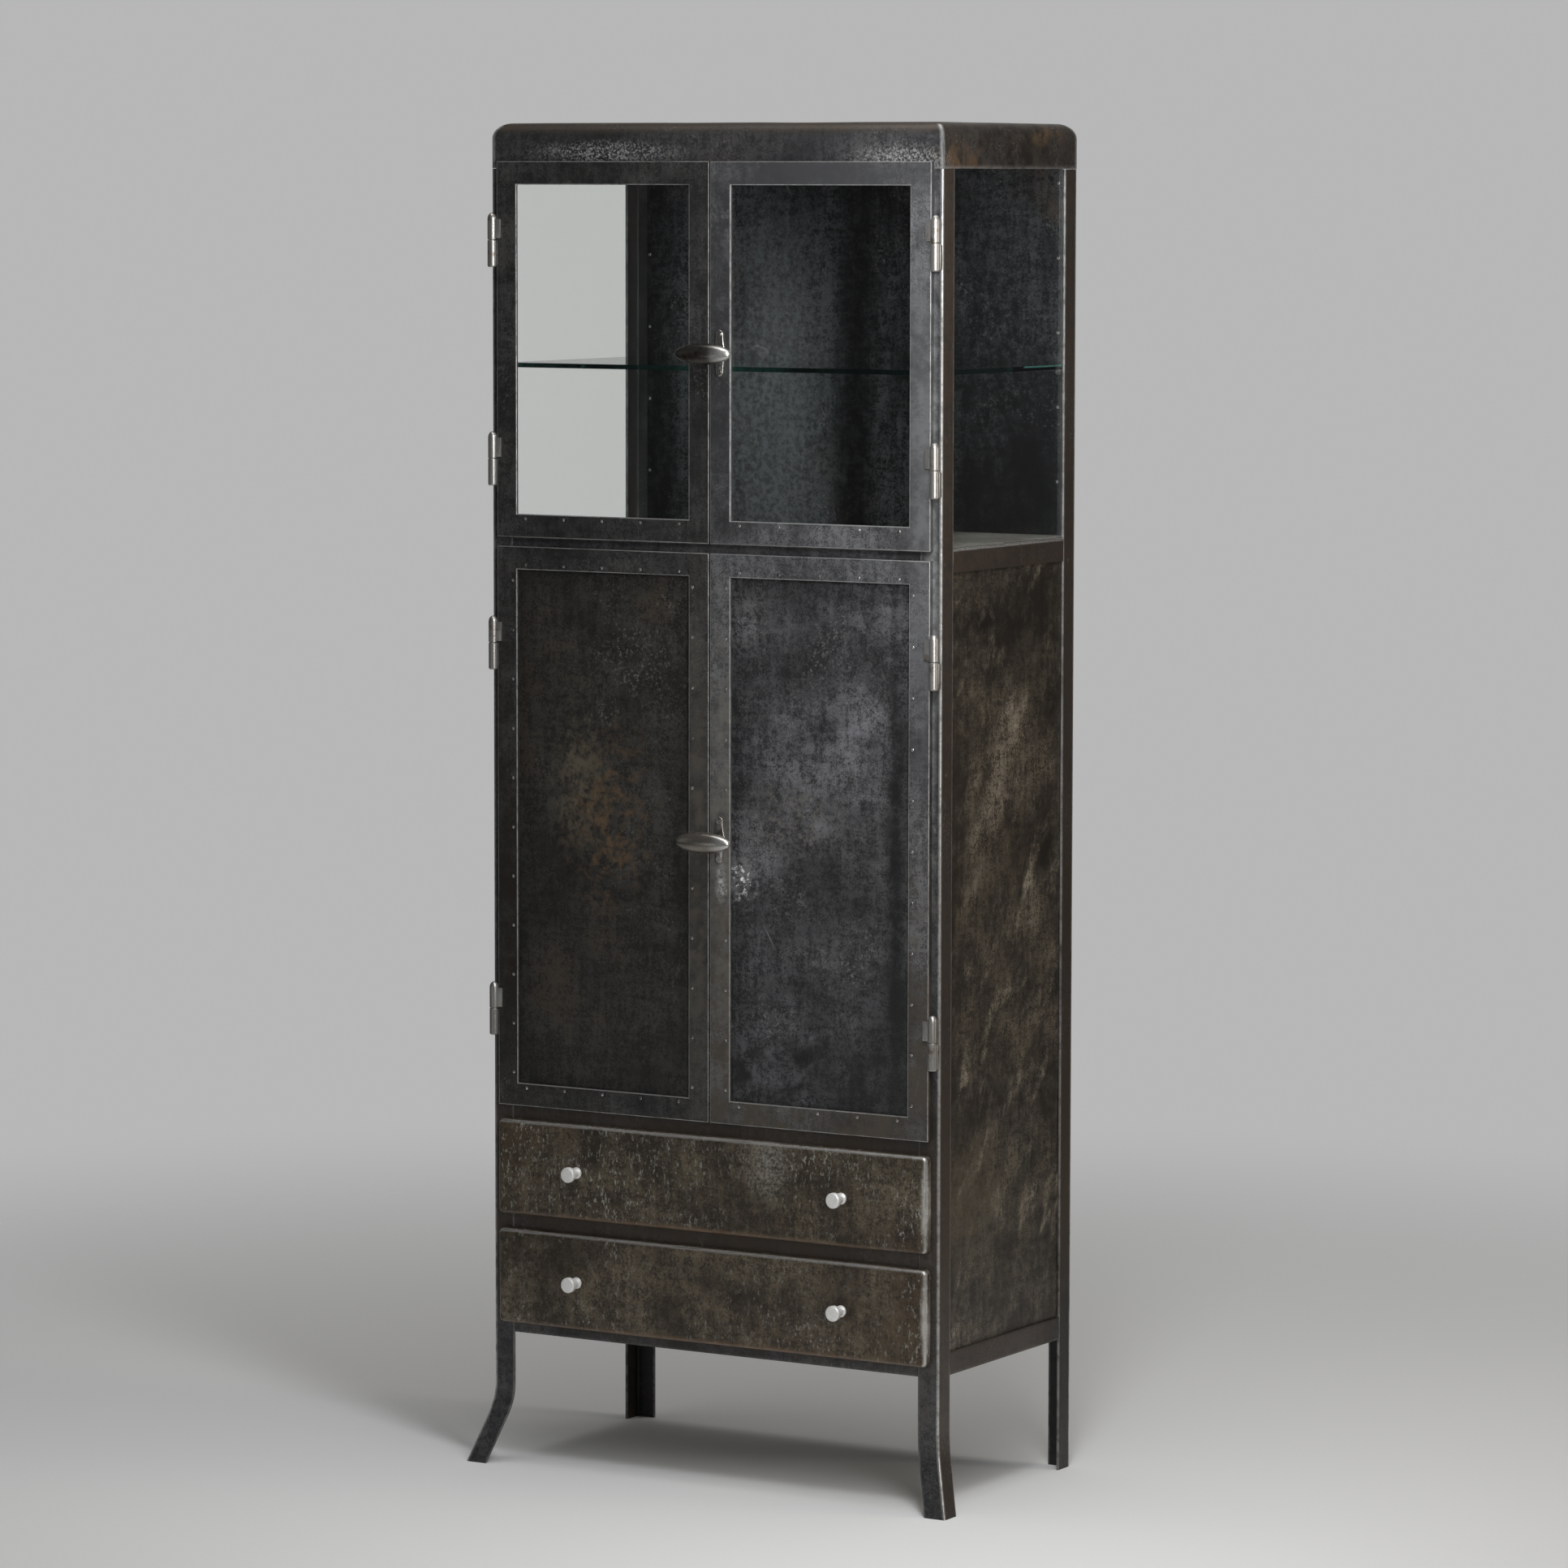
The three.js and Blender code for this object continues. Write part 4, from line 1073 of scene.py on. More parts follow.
def make_top():
    bm, rub = new_work()
    middle = (pan_low + pan_high) / 2
    half = (pan_high - pan_low) / 2
    rings = []
    for inset, drop, rubbed in pan_profile(PAN_RADIUS, PAN_WALL, pan_high.z - pan_low.z, 0.0, RIM_RUB):
        ring = []
        for sx, sy in ((1, 1), (-1, 1), (-1, -1), (1, -1)):
            steps_back = [(0, RUB_REACH), (0, 0), (RUB_REACH, 0)]
            if sx != sy:
                steps_back.reverse()
            for short_x, short_y in steps_back:
                x = sx * (half.x - inset - short_x)
                y = sy * (half.y - inset - short_y)
                vert = bm.verts.new((middle.x + x, middle.y + y, pan_high.z - drop))
                at_corner = short_x == short_y
                vert[rub] = max(rubbed, 1.0 if at_corner and inset < PAN_RADIUS / 2 else 0.0)
                ring.append(vert)
        rings.append(ring)
    pressed(bm, rings, pan_low, pan_high, (X_AXIS, Y_AXIS))
    return keep("rolled_top", to_mesh(bm, "rolled_top"), TOP_STEEL, "carcass", "frame_steel", "top_pan")


print("top:", len(make_top().data.polygons), "faces")

# %% [markdown]
# A door frame is a flat steel plate with its outer edge turned back. It could be cut from a block, but
# a section that is carried round the four corners gives clean mitres and keeps its edges apart. The cut
# edge round the opening is bare metal over its whole thickness, and it is what draws the bright line
# round each pane. Each edge of the section is given as its radius and how far it is rubbed. That rub is
# shared out by corner, brightest at the bottom left and dimmest at the top right, which paints a
# highlight on the edges that face the light and shade on those that don't. On the right a boolean takes
# a turned drill out of the plate, for the handle's spindle.

# %% Door frames
STILE = 30 * MM
DOOR_PLATE = 4 * MM
DOOR_RETURN = 3 * MM
# Rub shares at the four corners, from the bottom left round: painted highlight where high, painted shade
# where low.
CORNER_RUB_AND_LIGHT = (1.0, 0.9, 0.65, 0.85)
BORE_RADIUS = 5.6 * MM
BORE_REACH = 30 * MM
DOOR_FADE = 0.5 * MM
OUTER_EDGE = (0.8 * MM, 0.8)
MOUTH_EDGE = (1.0 * MM, 0.85)
CUT_EDGE = (0.3 * MM, 1.0)
RETURN_FILLET = (0.6 * MM, 0.0)
RETURN_EDGE = (0.3 * MM, 0.3)


def worked(thing):
    """The plain mesh that an object's modifiers make of its own."""
    return bpy.data.meshes.new_from_object(thing.evaluated_get(bpy.context.evaluated_depsgraph_get()))


def combined(name, first, second, operation="UNION"):
    """One closed mesh from two closed works: joined, or the first with the second taken out of it."""
    things = [placed(name, to_mesh(bm, name)) for bm in (first, second)]
    join = things[0].modifiers.new("join", "BOOLEAN")
    join.operation = operation
    join.solver = "EXACT"
    join.object = things[1]
    result = worked(things[0])
    for thing in things:
        bpy.data.objects.remove(thing)
    return shaded(result)


def bored(name, bm, axis):
    """A work with the round hole for the handle's spindle."""
    drill, _ = new_work()
    profile = [(0, -BORE_REACH), (BORE_RADIUS, -BORE_REACH), (BORE_RADIUS, BORE_REACH), (0, BORE_REACH)]
    lathe(drill, profile, axis, (0, 1, 0))
    return combined(name, bm, drill, "DIFFERENCE")


def make_door_frame(level, hand):
    name = f"door_frame_{level}_{hand}"
    low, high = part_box(name)
    plate_back = low.y + DOOR_PLATE
    section = rounded([
        (0, low.y, *OUTER_EDGE),
        (STILE, low.y, *MOUTH_EDGE),
        (STILE, plate_back, *CUT_EDGE),
        (DOOR_RETURN, plate_back, *RETURN_FILLET),
        (DOOR_RETURN, high.y, *RETURN_EDGE),
        (0, high.y, *RETURN_EDGE),
    ], reach=DOOR_FADE)
    corners = (
        (low.x, low.z, 1, 1), (high.x, low.z, -1, 1), (high.x, high.z, -1, -1), (low.x, high.z, 1, -1),
    )
    stations = [lambda inset, y, c=c: (c[0] + c[2] * inset, y, c[1] + c[3] * inset) for c in corners]
    bm, rub = new_work()
    rings = swept(bm, rub, section, stations)
    # Edges facing the light keep more rub, those at the top and right less: painted highlight and painted
    # shade.
    for ring, share in zip(rings, CORNER_RUB_AND_LIGHT):
        for vert in ring:
            vert[rub] *= share
    skin(bm, rings, joined_ends=True)
    mesh = bored(name, bm, spindle_axis[level]) if hand == "right" else to_mesh(bm, name)
    return keep(name + "_plate", mesh, DOOR_FRAMES[hand], f"{level}_{hand}_door", "frame_steel", name)


door_frames = {(level, hand): make_door_frame(level, hand) for level in LEVELS for hand in HANDS}
print("door frames:", len(door_frames))

# %% [markdown]
# Thin sheet is never quite flat. Large panels belly a little between their welds, and the soft waves
# are what breaks up the light on them. Each panel is a fine grid bent by smooth noise, which fades out
# at its edges, so that it still seats on its frame. A second number at its points is 1 at the frame and
# falls off inwards, and the finish is dark there: partly grime, partly painted shade where the panel
# sits back behind its frame.

# %% Sheet panels
RIPPLE = 0.9 * MM
RIPPLE_SCALE = 5.5
RIPPLE_SEED = 3.7
RIPPLE_CELL = 20 * MM
RIPPLE_EDGE = 60 * MM
PANEL_HIDDEN = 10 * MM
GRIME_AND_SHADE_REACH = 35 * MM


def make_panel(name, flat_axis, material, body):
    low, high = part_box(name)
    u, v = [axis for axis in range(3) if axis != flat_axis]
    counts = [max(2, round((high[axis] - low[axis]) / RIPPLE_CELL)) for axis in (u, v)]
    bm, _ = new_work()
    grime_and_shade = bm.verts.layers.float.new("grime_and_shade")

    def point(i, j, face):
        place = Vector((0, 0, 0))
        place[u] = low[u] + (high[u] - low[u]) * i / counts[0]
        place[v] = low[v] + (high[v] - low[v]) * j / counts[1]
        place[flat_axis] = face
        margin = min(place[u] - low[u], high[u] - place[u], place[v] - low[v], high[v] - place[v])
        fade = min(1.0, margin / RIPPLE_EDGE)
        seed = Vector((len(name), 0, flat_axis)) * RIPPLE_SEED
        wave = noise.noise(Vector((place[u], place[v], 0)) * RIPPLE_SCALE + seed)
        place[flat_axis] += RIPPLE * fade * fade * wave
        vert = bm.verts.new(place)
        # 1 at the frame, falling off inwards: grime and painted shade.
        vert[grime_and_shade] = max(0.0, 1.0 - max(0.0, margin - PANEL_HIDDEN) / GRIME_AND_SHADE_REACH)
        return vert

    sheets = [[[point(i, j, face) for j in range(counts[1] + 1)] for i in range(counts[0] + 1)]
              for face in (low[flat_axis], high[flat_axis])]
    for sheet in sheets:
        for i in range(counts[0]):
            for j in range(counts[1]):
                bm.faces.new((sheet[i][j], sheet[i + 1][j], sheet[i + 1][j + 1], sheet[i][j + 1]))
    rims = []
    for sheet in sheets:
        rim = [column[0] for column in sheet] + sheet[-1][1:]
        rim += [column[-1] for column in reversed(sheet[:-1])] + list(reversed(sheet[0][1:-1]))
        rims.append(rim)
    skin(bm, rims)
    return keep(name + "_sheet", to_mesh(bm, name), material, body, "panel_steel", name)


for hand in HANDS:
    door = make_panel(f"door_panel_{hand}", Y_AXIS, DOOR_PANELS[hand], f"lower_{hand}_door")
    side = make_panel(f"side_panel_{hand}", X_AXIS, SIDE_STEEL, "carcass")
    print(hand, "sheets:", len(door.data.polygons), "and", len(side.data.polygons), "faces")

# %% [markdown]
# The drawer fronts are pressed like the top, but with ball corners: each ring of the profile is a
# rectangle whose corners are rounded by what is left of the bend. Their flanges turn in behind, where
# the tray is welded. The upper and right-hand edges are the exposed ones and face the light, so they are
# rubbed most, which is wear and a painted highlight.

# %% Drawer fronts
DRAWER_RADIUS = 7 * MM
DRAWER_FLANGE = 30 * MM
CORNER_STEPS = 5
LEAST_CORNER = 0.4 * MM
SHELTERED_AND_SHADED = 0.3
DRAWER_RIM_RUB = 0.2


def round_ring(low, high, inset, radius):
    """Points (x, z) of a rectangle drawn in by inset, with rounded corners."""
    points = []
    centres = ((high.x, high.z, 0), (low.x, high.z, 1), (low.x, low.z, 2), (high.x, low.z, 3))
    for x, z, quarter in centres:
        sx = 1 if x == high.x else -1
        sz = 1 if z == high.z else -1
        middle = (x - sx * (inset + radius), z - sz * (inset + radius))
        for step in range(CORNER_STEPS + 1):
            turn = math.pi / 2 * (quarter + step / CORNER_STEPS)
            points.append((middle[0] + radius * math.cos(turn), middle[1] + radius * math.sin(turn)))
    return points


def make_drawer_front(level):
    name = f"drawer_front_{level}"
    low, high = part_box(name)
    deep = high.y - low.y
    turned_in = deep - SHEET_WALL
    profile = pan_profile(DRAWER_RADIUS, SHEET_WALL, deep, 1.0, DRAWER_RIM_RUB)
    outside_end = BEND_STEPS + 3
    flange = [(DRAWER_FLANGE, deep, 0.0), (DRAWER_FLANGE, turned_in, 0.0), (SHEET_WALL, turned_in, 0.0)]
    bm, rub = new_work()
    rings = []
    for inset, drop, rubbed in profile[:outside_end] + flange + profile[outside_end + 1:]:
        ring = []
        for x, z in round_ring(low, high, inset, max(LEAST_CORNER, DRAWER_RADIUS - inset)):
            vert = bm.verts.new((x, low.y + drop, z))
            # Upper and right-hand edges rub brighter: wear and a painted highlight where they face the
            # light.
            exposed_and_lit = x > high.x - DRAWER_RADIUS or z > high.z - DRAWER_RADIUS
            vert[rub] = rubbed if exposed_and_lit else rubbed * SHELTERED_AND_SHADED
            ring.append(vert)
        rings.append(ring)
    pressed(bm, rings, low, high, (X_AXIS, Z_AXIS))
    return keep(name + "_pressing", to_mesh(bm, name), DRAWER_STEEL, f"{level}_drawer", "drawer_steel", name)


print("drawer fronts:", [len(make_drawer_front(level).data.polygons) for level in LEVELS])

# %% [markdown]
# The knobs are turned from bar. A profile from the foot to the middle of the face is spun round the
# knob's axis, with small arcs on its rims, because it is the rims that catch the light. A short tenon
# below the foot goes into the drawer front.

# %% Knobs
PROFILE_STEPS = 4
KNOB_SIDES = 48
KNOB_FOOT = 7.5 * MM
KNOB_FLANGE = 2.2 * MM
KNOB_COVE = 5.3 * MM
KNOB_NECK = 5 * MM
KNOB_BEVEL = 1.6 * MM
KNOB_TENON = 5 * MM
TENON_RADIUS = 2 * MM


def soft_profile(corners):
    """A turned profile (radius, along) whose inner corners (radius, along, arc) become arcs."""
    points = [corners[0][:2]]
    for before, here, after in zip(corners, corners[1:], corners[2:]):
        arc = here[2]
        if arc == 0:
            points.append(here[:2])
            continue
        place = Vector(here[:2])
        ways = [(Vector(end[:2]) - place).normalized() for end in (before, after)]
        points += corner_arc(place, ways, arc, PROFILE_STEPS)[0]
    return points + [corners[-1][:2]]


def make_knob(level, hand):
    name = f"knob_{level}_{hand}"
    low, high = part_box(name)
    head = (high.z - low.z) / 2
    foot_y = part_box(f"drawer_front_{level}")[0].y - SEAT
    length = foot_y - low.y
    corners = [
        (0, -KNOB_TENON, 0), (TENON_RADIUS, -KNOB_TENON, 0), (TENON_RADIUS, 0, 0),
        (KNOB_FOOT, 0, 0.3 * MM), (KNOB_FOOT, KNOB_FLANGE, 0.9 * MM),
        (KNOB_COVE, 3.6 * MM, 1.2 * MM), (KNOB_NECK, length - 9 * MM, 1.5 * MM),
        (head, length - 7 * MM, 0.8 * MM), (head, length - 1.2 * MM, 0.6 * MM),
        (head - KNOB_BEVEL, length, 0.5 * MM), (0, length, 0),
    ]
    middle = ((low.x + high.x) / 2, foot_y, (low.z + high.z) / 2)
    bm, _ = new_work()
    lathe(bm, soft_profile(corners), middle, (0, -1, 0), KNOB_SIDES)
    mesh = to_mesh(bm, name)
    return keep(name + "_turning", mesh, KNOB_ALUMINIUM, f"{level}_drawer", "knob_aluminium", name)


knobs = [make_knob(level, hand) for level in LEVELS for hand in HANDS]
print("knobs:", len(knobs), "with", len(knobs[0].data.polygons), "faces each")

# %% [markdown]
# A lift-off hinge is two halves. The lower one carries the pin and is welded to the post, the upper one
# drops over it and is welded to the door, so a door can be lifted away. Each barrel is turned, and its
# leaf is a small plate whose edges are softened with a bevel. The two are united, so that no face is
# left inside.

# %% Hinges
SOFT_STEPS = 2
HINGE_RADIUS = 6 * MM
KNUCKLE = 35 * MM
DOME = 8 * MM
DOME_STEPS = 6
PIN_RADIUS = 3 * MM
PIN_LENGTH = 22 * MM
PIN_TIP = 1.5 * MM
PIN_PLAY = 0.15 * MM
LEAF_WALL = 2.5 * MM
LEAF_TRIM = 2 * MM
LEAF_EDGE = 0.5 * MM
HINGE_LIFT = 0.5 * MM
GROOVE = 0.9 * MM


def soft_block(bm, low, high, radius):
    made = bmesh.ops.create_cube(bm, size=1.0)
    size = Vector(high) - Vector(low)
    for vert in made["verts"]:
        vert.co = Vector(low) + Vector((vert.co[i] + 0.5) * size[i] for i in range(3))
    edges = {edge for vert in made["verts"] for edge in vert.link_edges}
    bmesh.ops.bevel(bm, geom=list(edges), offset=radius, segments=SOFT_STEPS, profile=0.5, affect="EDGES")


def make_pin_half(node, origin, side):
    turning, _ = new_work()
    lathe(turning, soft_profile([
        (0, -KNUCKLE, 0), (HINGE_RADIUS - 1.2 * MM, -KNUCKLE, 0.4 * MM),
        (HINGE_RADIUS, -KNUCKLE + 1.6 * MM, 0.8 * MM), (HINGE_RADIUS, -GROOVE, 0),
        (HINGE_RADIUS - GROOVE, 0, 0), (PIN_RADIUS, 0, 0),
        (PIN_RADIUS, PIN_LENGTH - PIN_TIP, 0), (PIN_RADIUS - PIN_TIP, PIN_LENGTH, 0), (0, PIN_LENGTH, 0),
    ]), origin, (0, 0, 1))
    leaf, _ = new_work()
    left, right = sorted((origin.x - side * PIN_RADIUS, side * half_width))
    leaf_low = (left, origin.y + PIN_RADIUS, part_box(node)[0].z + LEAF_TRIM)
    leaf_high = (right, front_y - SEAT, origin.z - LEAF_TRIM)
    soft_block(leaf, leaf_low, leaf_high, LEAF_EDGE)
    keep(node + "_turning", combined(node, turning, leaf), HINGE_STEEL, "carcass", "hinge_steel", node)


def make_socket_half(node, origin, side, door):
    low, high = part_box(node)
    bore = PIN_RADIUS + PIN_PLAY
    shoulder = KNUCKLE - DOME
    turning, _ = new_work()
    turns = [math.pi / 2 * i / DOME_STEPS for i in range(DOME_STEPS)]
    dome = [(HINGE_RADIUS * math.cos(t), shoulder + DOME * math.sin(t)) for t in turns]
    inside = [(0, PIN_LENGTH + SEAT), (bore, PIN_LENGTH + SEAT), (bore, SEAT)]
    rim = [(HINGE_RADIUS - GROOVE, SEAT), (HINGE_RADIUS, SEAT + GROOVE)]
    lathe(turning, inside + rim + dome + [(0, KNUCKLE)], origin, (0, 0, 1))
    leaf, _ = new_work()
    back = origin.y + HINGE_LIFT - SEAT
    left, right = sorted((low.x if side > 0 else high.x, origin.x - side * (HINGE_RADIUS + bore) / 2))
    leaf_low = (left, back - LEAF_WALL, origin.z + SEAT + LEAF_TRIM)
    leaf_high = (right, back, origin.z + shoulder)
    soft_block(leaf, leaf_low, leaf_high, LEAF_EDGE)
    keep(node + "_turning", combined(node, turning, leaf), HINGE_STEEL, door, "hinge_steel", node)


def make_hinge(level, hand, end):
    pin_node, socket_node = (f"hinge_{half}_{level}_{hand}_{end}" for half in ("pin", "socket"))
    axis = joint_place(f"{level}_{hand}_door_swing")
    origin = Vector((axis.x, axis.y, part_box(pin_node)[0].z + KNUCKLE))
    make_pin_half(pin_node, origin, HANDS[hand])
    make_socket_half(socket_node, origin, HANDS[hand], f"{level}_{hand}_door")


for level in LEVELS:
    for hand in HANDS:
        for end in ("top", "bottom"):
            make_hinge(level, hand, end)
print("hinges:", 2 * len(LEVELS) * len(HANDS))

# %% [markdown]
# An olive handle is cast: an egg-shaped grip that flows into a waisted neck. Two turned forms are
# united, and a voxel remesh with a little smoothing melts the join into a fillet, as a casting has. The
# square spindle and the locking tongue stay crisp, so they are added afterwards.

# %% Olive handles
OLIVE_RINGS = 28
OLIVE_VOXEL = 0.7 * MM
OLIVE_SMOOTHING = 6
OLIVE_SIDES = 48
OLIVE_TALL = 13.5 * MM
OLIVE_DEEP = 11.5 * MM
NECK_FOOT = 8.5 * MM
NECK_TOP = 9 * MM
NECK_WAIST = 6 * MM
SPINDLE = 7 * MM
SPINDLE_ROOT = 4 * MM
SPINDLE_EDGE = 0.3 * MM
TONGUE_WIDTH = 13 * MM
TONGUE_WALL = 3 * MM
TONGUE_EDGE = 0.6 * MM
DIGITS = 9


def make_olive(level):
    name = f"olive_{level}"
    low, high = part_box(name)
    axis = spindle_axis[level]
    rosette_low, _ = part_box(f"rosette_{level}")
    half_length = (high.x - low.x) / 2
    middle = Vector((axis.x, low.y + OLIVE_DEEP, axis.z))
    grip, _ = new_work()
    turns = [math.pi * (i / OLIVE_RINGS - 0.5) for i in range(OLIVE_RINGS + 1)]
    ball = [(max(0.0, round(math.cos(t), DIGITS)), math.sin(t)) for t in turns]
    lathe(grip, ball, (0, 0, 0), (1, 0, 0), OLIVE_SIDES)
    for vert in grip.verts:
        vert.co = middle + Vector((vert.co.x * half_length, vert.co.y * OLIVE_DEEP, vert.co.z * OLIVE_TALL))
    neck, _ = new_work()
    foot_y = rosette_low.y - SEAT
    length = foot_y - middle.y
    lathe(neck, soft_profile([
        (0, 0, 0), (NECK_FOOT, 0, 0.4 * MM), (NECK_FOOT, 2.5 * MM, 1 * MM), (NECK_WAIST, 7 * MM, 3 * MM),
        (6.4 * MM, length - 9 * MM, 3 * MM), (NECK_TOP, length - 3 * MM, 0.5 * MM), (0, length, 0),
    ]), (axis.x, foot_y, axis.z), (0, -1, 0))
    cast = placed(name, combined(name, grip, neck))
    remesh = cast.modifiers.new("cast", "REMESH")
    remesh.mode = "VOXEL"
    remesh.voxel_size = OLIVE_VOXEL
    smooth = cast.modifiers.new("fettle", "SMOOTH")
    smooth.iterations = OLIVE_SMOOTHING
    bm = bmesh.new()
    bm.from_mesh(worked(cast))
    bpy.data.objects.remove(cast)
    half = SPINDLE / 2
    root = (axis.x - half, foot_y - SPINDLE_ROOT, axis.z - half)
    soft_block(bm, root, (axis.x + half, high.y, axis.z + half), SPINDLE_EDGE)
    wide = TONGUE_WIDTH / 2
    heel = (axis.x - wide, high.y - TONGUE_WALL, axis.z - wide)
    soft_block(bm, heel, (axis.x + wide, high.y, high.z), TONGUE_EDGE)
    mesh = to_mesh(bm, name)
    return keep(name + "_casting", mesh, HANDLE_BRONZE, f"{level}_handle", "handle_bronze", name)


print("olives:", [len(make_olive(level).data.polygons) for level in LEVELS])

# %% [markdown]
# The rosette is a small plate with a lobe above and below for its screws. Three discs could be united
# for it, but their joins would be sharp. Its outline is two half circles joined by curves that swell
# round the spindle. It is extruded, its front edge is softened, and it is bored like the door.

# %% Rosettes
ROSETTE_REACH = 24 * MM
ROSETTE_LOBE = 5.5 * MM
ROSETTE_HUB = 10.5 * MM
ROSETTE_WAIST = 7.9 * MM
ROSETTE_BEVEL = 1.1 * MM
ROSETTE_STEPS = 3
CURVE_STEPS = 8


def rosette_outline():
    """Points of the outline, one quarter drawn and the other three mirrored from it."""
    turns = [math.pi / 2 * i / CURVE_STEPS for i in range(CURVE_STEPS, -1, -1)]
    quarter = [(ROSETTE_LOBE * math.cos(t), ROSETTE_REACH + ROSETTE_LOBE * math.sin(t)) for t in turns]
    for i in range(1, CURVE_STEPS + 1):
        t = i / CURVE_STEPS
        x = ROSETTE_LOBE * (1 - t * t) + ROSETTE_HUB * t * t
        z = ROSETTE_REACH * (1 - t) ** 2 + ROSETTE_WAIST * 2 * t * (1 - t)
        quarter.append((x, z))
    right = quarter + [(x, -z) for x, z in reversed(quarter[:-1])]
    return right + [(-x, z) for x, z in reversed(right[1:-1])]


def make_rosette(level):
    name = f"rosette_{level}"
    low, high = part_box(name)
    middle = (low + high) / 2
    bm, _ = new_work()
    back = [bm.verts.new((middle.x + x, high.y, middle.z + z)) for x, z in rosette_outline()]
    face = bm.faces.new(back)
    made = bmesh.ops.extrude_face_region(bm, geom=[face])["geom"]
    front = [item for item in made if isinstance(item, bmesh.types.BMVert)]
    for vert in front:
        vert.co.y = low.y
    rim = [edge for edge in bm.edges if all(vert in front for vert in edge.verts)]
    bmesh.ops.bevel(bm, geom=rim, offset=ROSETTE_BEVEL, segments=ROSETTE_STEPS, profile=0.5, affect="EDGES")
    mesh = bored(name, bm, spindle_axis[level])
    return keep(name + "_plate", mesh, ROSETTE_STEEL, f"{level}_right_door", "rosette_steel", name)


print("rosettes:", [len(make_rosette(level).data.polygons) for level in LEVELS])

# %% [markdown]
# Rivets and screws repeat, so they are made with Geometry Nodes. A tree makes one head, puts a copy on
# each point that it is given, makes the copies real and gives them their material. The points are a
# plain mesh of loose vertices. A tree's sizes are its named inputs, and a modifier sets them by their
# identifiers.

# %% Tree for copies
HEAD_CREASE = math.radians(40)


def copies_tree(name, sizes, make_head):
    tree = bpy.data.node_groups.new(name, "GeometryNodeTree")
    tree.interface.new_socket("Geometry", in_out="INPUT", socket_type="NodeSocketGeometry")
    for label, value in sizes.items():
        tree.interface.new_socket(label, in_out="INPUT", socket_type="NodeSocketFloat").default_value = value
    tree.interface.new_socket("Turn", in_out="INPUT", socket_type="NodeSocketVector")
    tree.interface.new_socket("Material", in_out="INPUT", socket_type="NodeSocketMaterial")
    tree.interface.new_socket("Geometry", in_out="OUTPUT", socket_type="NodeSocketGeometry")
    given = tree.nodes.new("NodeGroupInput").outputs
    out = tree.nodes.new("NodeGroupOutput").inputs
    copies = add(tree, "GeometryNodeInstanceOnPoints", {
        "Points": given["Geometry"], "Instance": make_head(tree, given), "Rotation": given["Turn"],
    })
    real = add(tree, "GeometryNodeRealizeInstances", {"Geometry": copies.outputs[0]})
    finish = add(tree, "GeometryNodeSetMaterial", {
        "Geometry": real.outputs[0], "Material": given["Material"],
    })
    tree.links.new(finish.outputs[0], out["Geometry"])
    return tree


def copies_on(name, tree, points, turn, material):
    """The plain mesh that a tree makes on loose points, with its inputs set by their identifiers."""
    mesh = bpy.data.meshes.new(name)
    mesh.from_pydata(points, [], [])
    holder = placed(name, mesh)
    modifier = holder.modifiers.new("copies", "NODES")
    modifier.node_group = tree
    values = {"Turn": turn, "Material": material}
    for socket in tree.interface.items_tree:
        if socket.in_out == "INPUT" and socket.socket_type != "NodeSocketGeometry":
            modifier[socket.identifier] = values.get(socket.name, getattr(socket, "default_value", None))
    result = worked(holder)
    bpy.data.objects.remove(holder)
    return shaded(result, HEAD_CREASE)


print("copy helpers are ready")

# %% [markdown]
# A rivet's head is a low frustum that one subdivision rounds off. A screw's is a disc with a slot taken
# out of it. Both are small and plain, because so many of them are copied, and they are made of nodes
# too, so that their sizes stay inputs.

# %% Rivet and screw heads
RIVET_SIZE = {"Radius": 2.8 * MM, "Rise": 1.4 * MM}
RIVET_SIDES = 16
RIVET_CROWN = 0.62
SCREW_SIZE = {"Radius": 3.4 * MM, "Rise": 2 * MM, "Slot": 0.9 * MM}
SCREW_SIDES = 24
SLOT_LENGTH = 3.0
SLOT_LIFT = 0.7


def rivet_head(tree, given):
    crown = maths(tree, "MULTIPLY", given["Radius"], RIVET_CROWN)
    cone = add(tree, "GeometryNodeMeshCone", {
        "Vertices": RIVET_SIDES, "Depth": given["Rise"],
        "Radius Top": crown, "Radius Bottom": given["Radius"],
    })
    return add(tree, "GeometryNodeSubdivisionSurface", {"Mesh": cone.outputs["Mesh"], "Level": 1}).outputs[0]


def screw_head(tree, given):
    disc = add(tree, "GeometryNodeMeshCylinder", {
        "Vertices": SCREW_SIDES, "Radius": given["Radius"], "Depth": given["Rise"],
    })
    across = maths(tree, "MULTIPLY", given["Radius"], SLOT_LENGTH)
    size = add(tree, "ShaderNodeCombineXYZ", {"X": across, "Y": given["Slot"], "Z": given["Rise"]})
    block = add(tree, "GeometryNodeMeshCube", {"Size": size.outputs[0]})
    lift = add(tree, "ShaderNodeCombineXYZ", {"Z": maths(tree, "MULTIPLY", given["Rise"], SLOT_LIFT)})
    slot = add(tree, "GeometryNodeTransform", {
        "Geometry": block.outputs["Mesh"], "Translation": lift.outputs[0],
    })
    head = add(tree, "GeometryNodeMeshBoolean", {
        "Mesh 1": disc.outputs["Mesh"], "Mesh 2": slot.outputs[0],
    }, operation="DIFFERENCE")
    return head.outputs["Mesh"]


RIVETS = copies_tree("rivet_heads", RIVET_SIZE, rivet_head)
SCREWS = copies_tree("screw_heads", SCREW_SIZE, screw_head)
print("trees:", RIVETS.name, SCREWS.name)

# %% [markdown]
# The steel panels are riveted all round behind their frames, and the panes are held by clips that show
# only as a few rivets along the bottom rail. The back is riveted to the rear posts, with a head on
# either side. Two slotted screws hold each rosette. Their points are laid out in even steps along the
# frames.

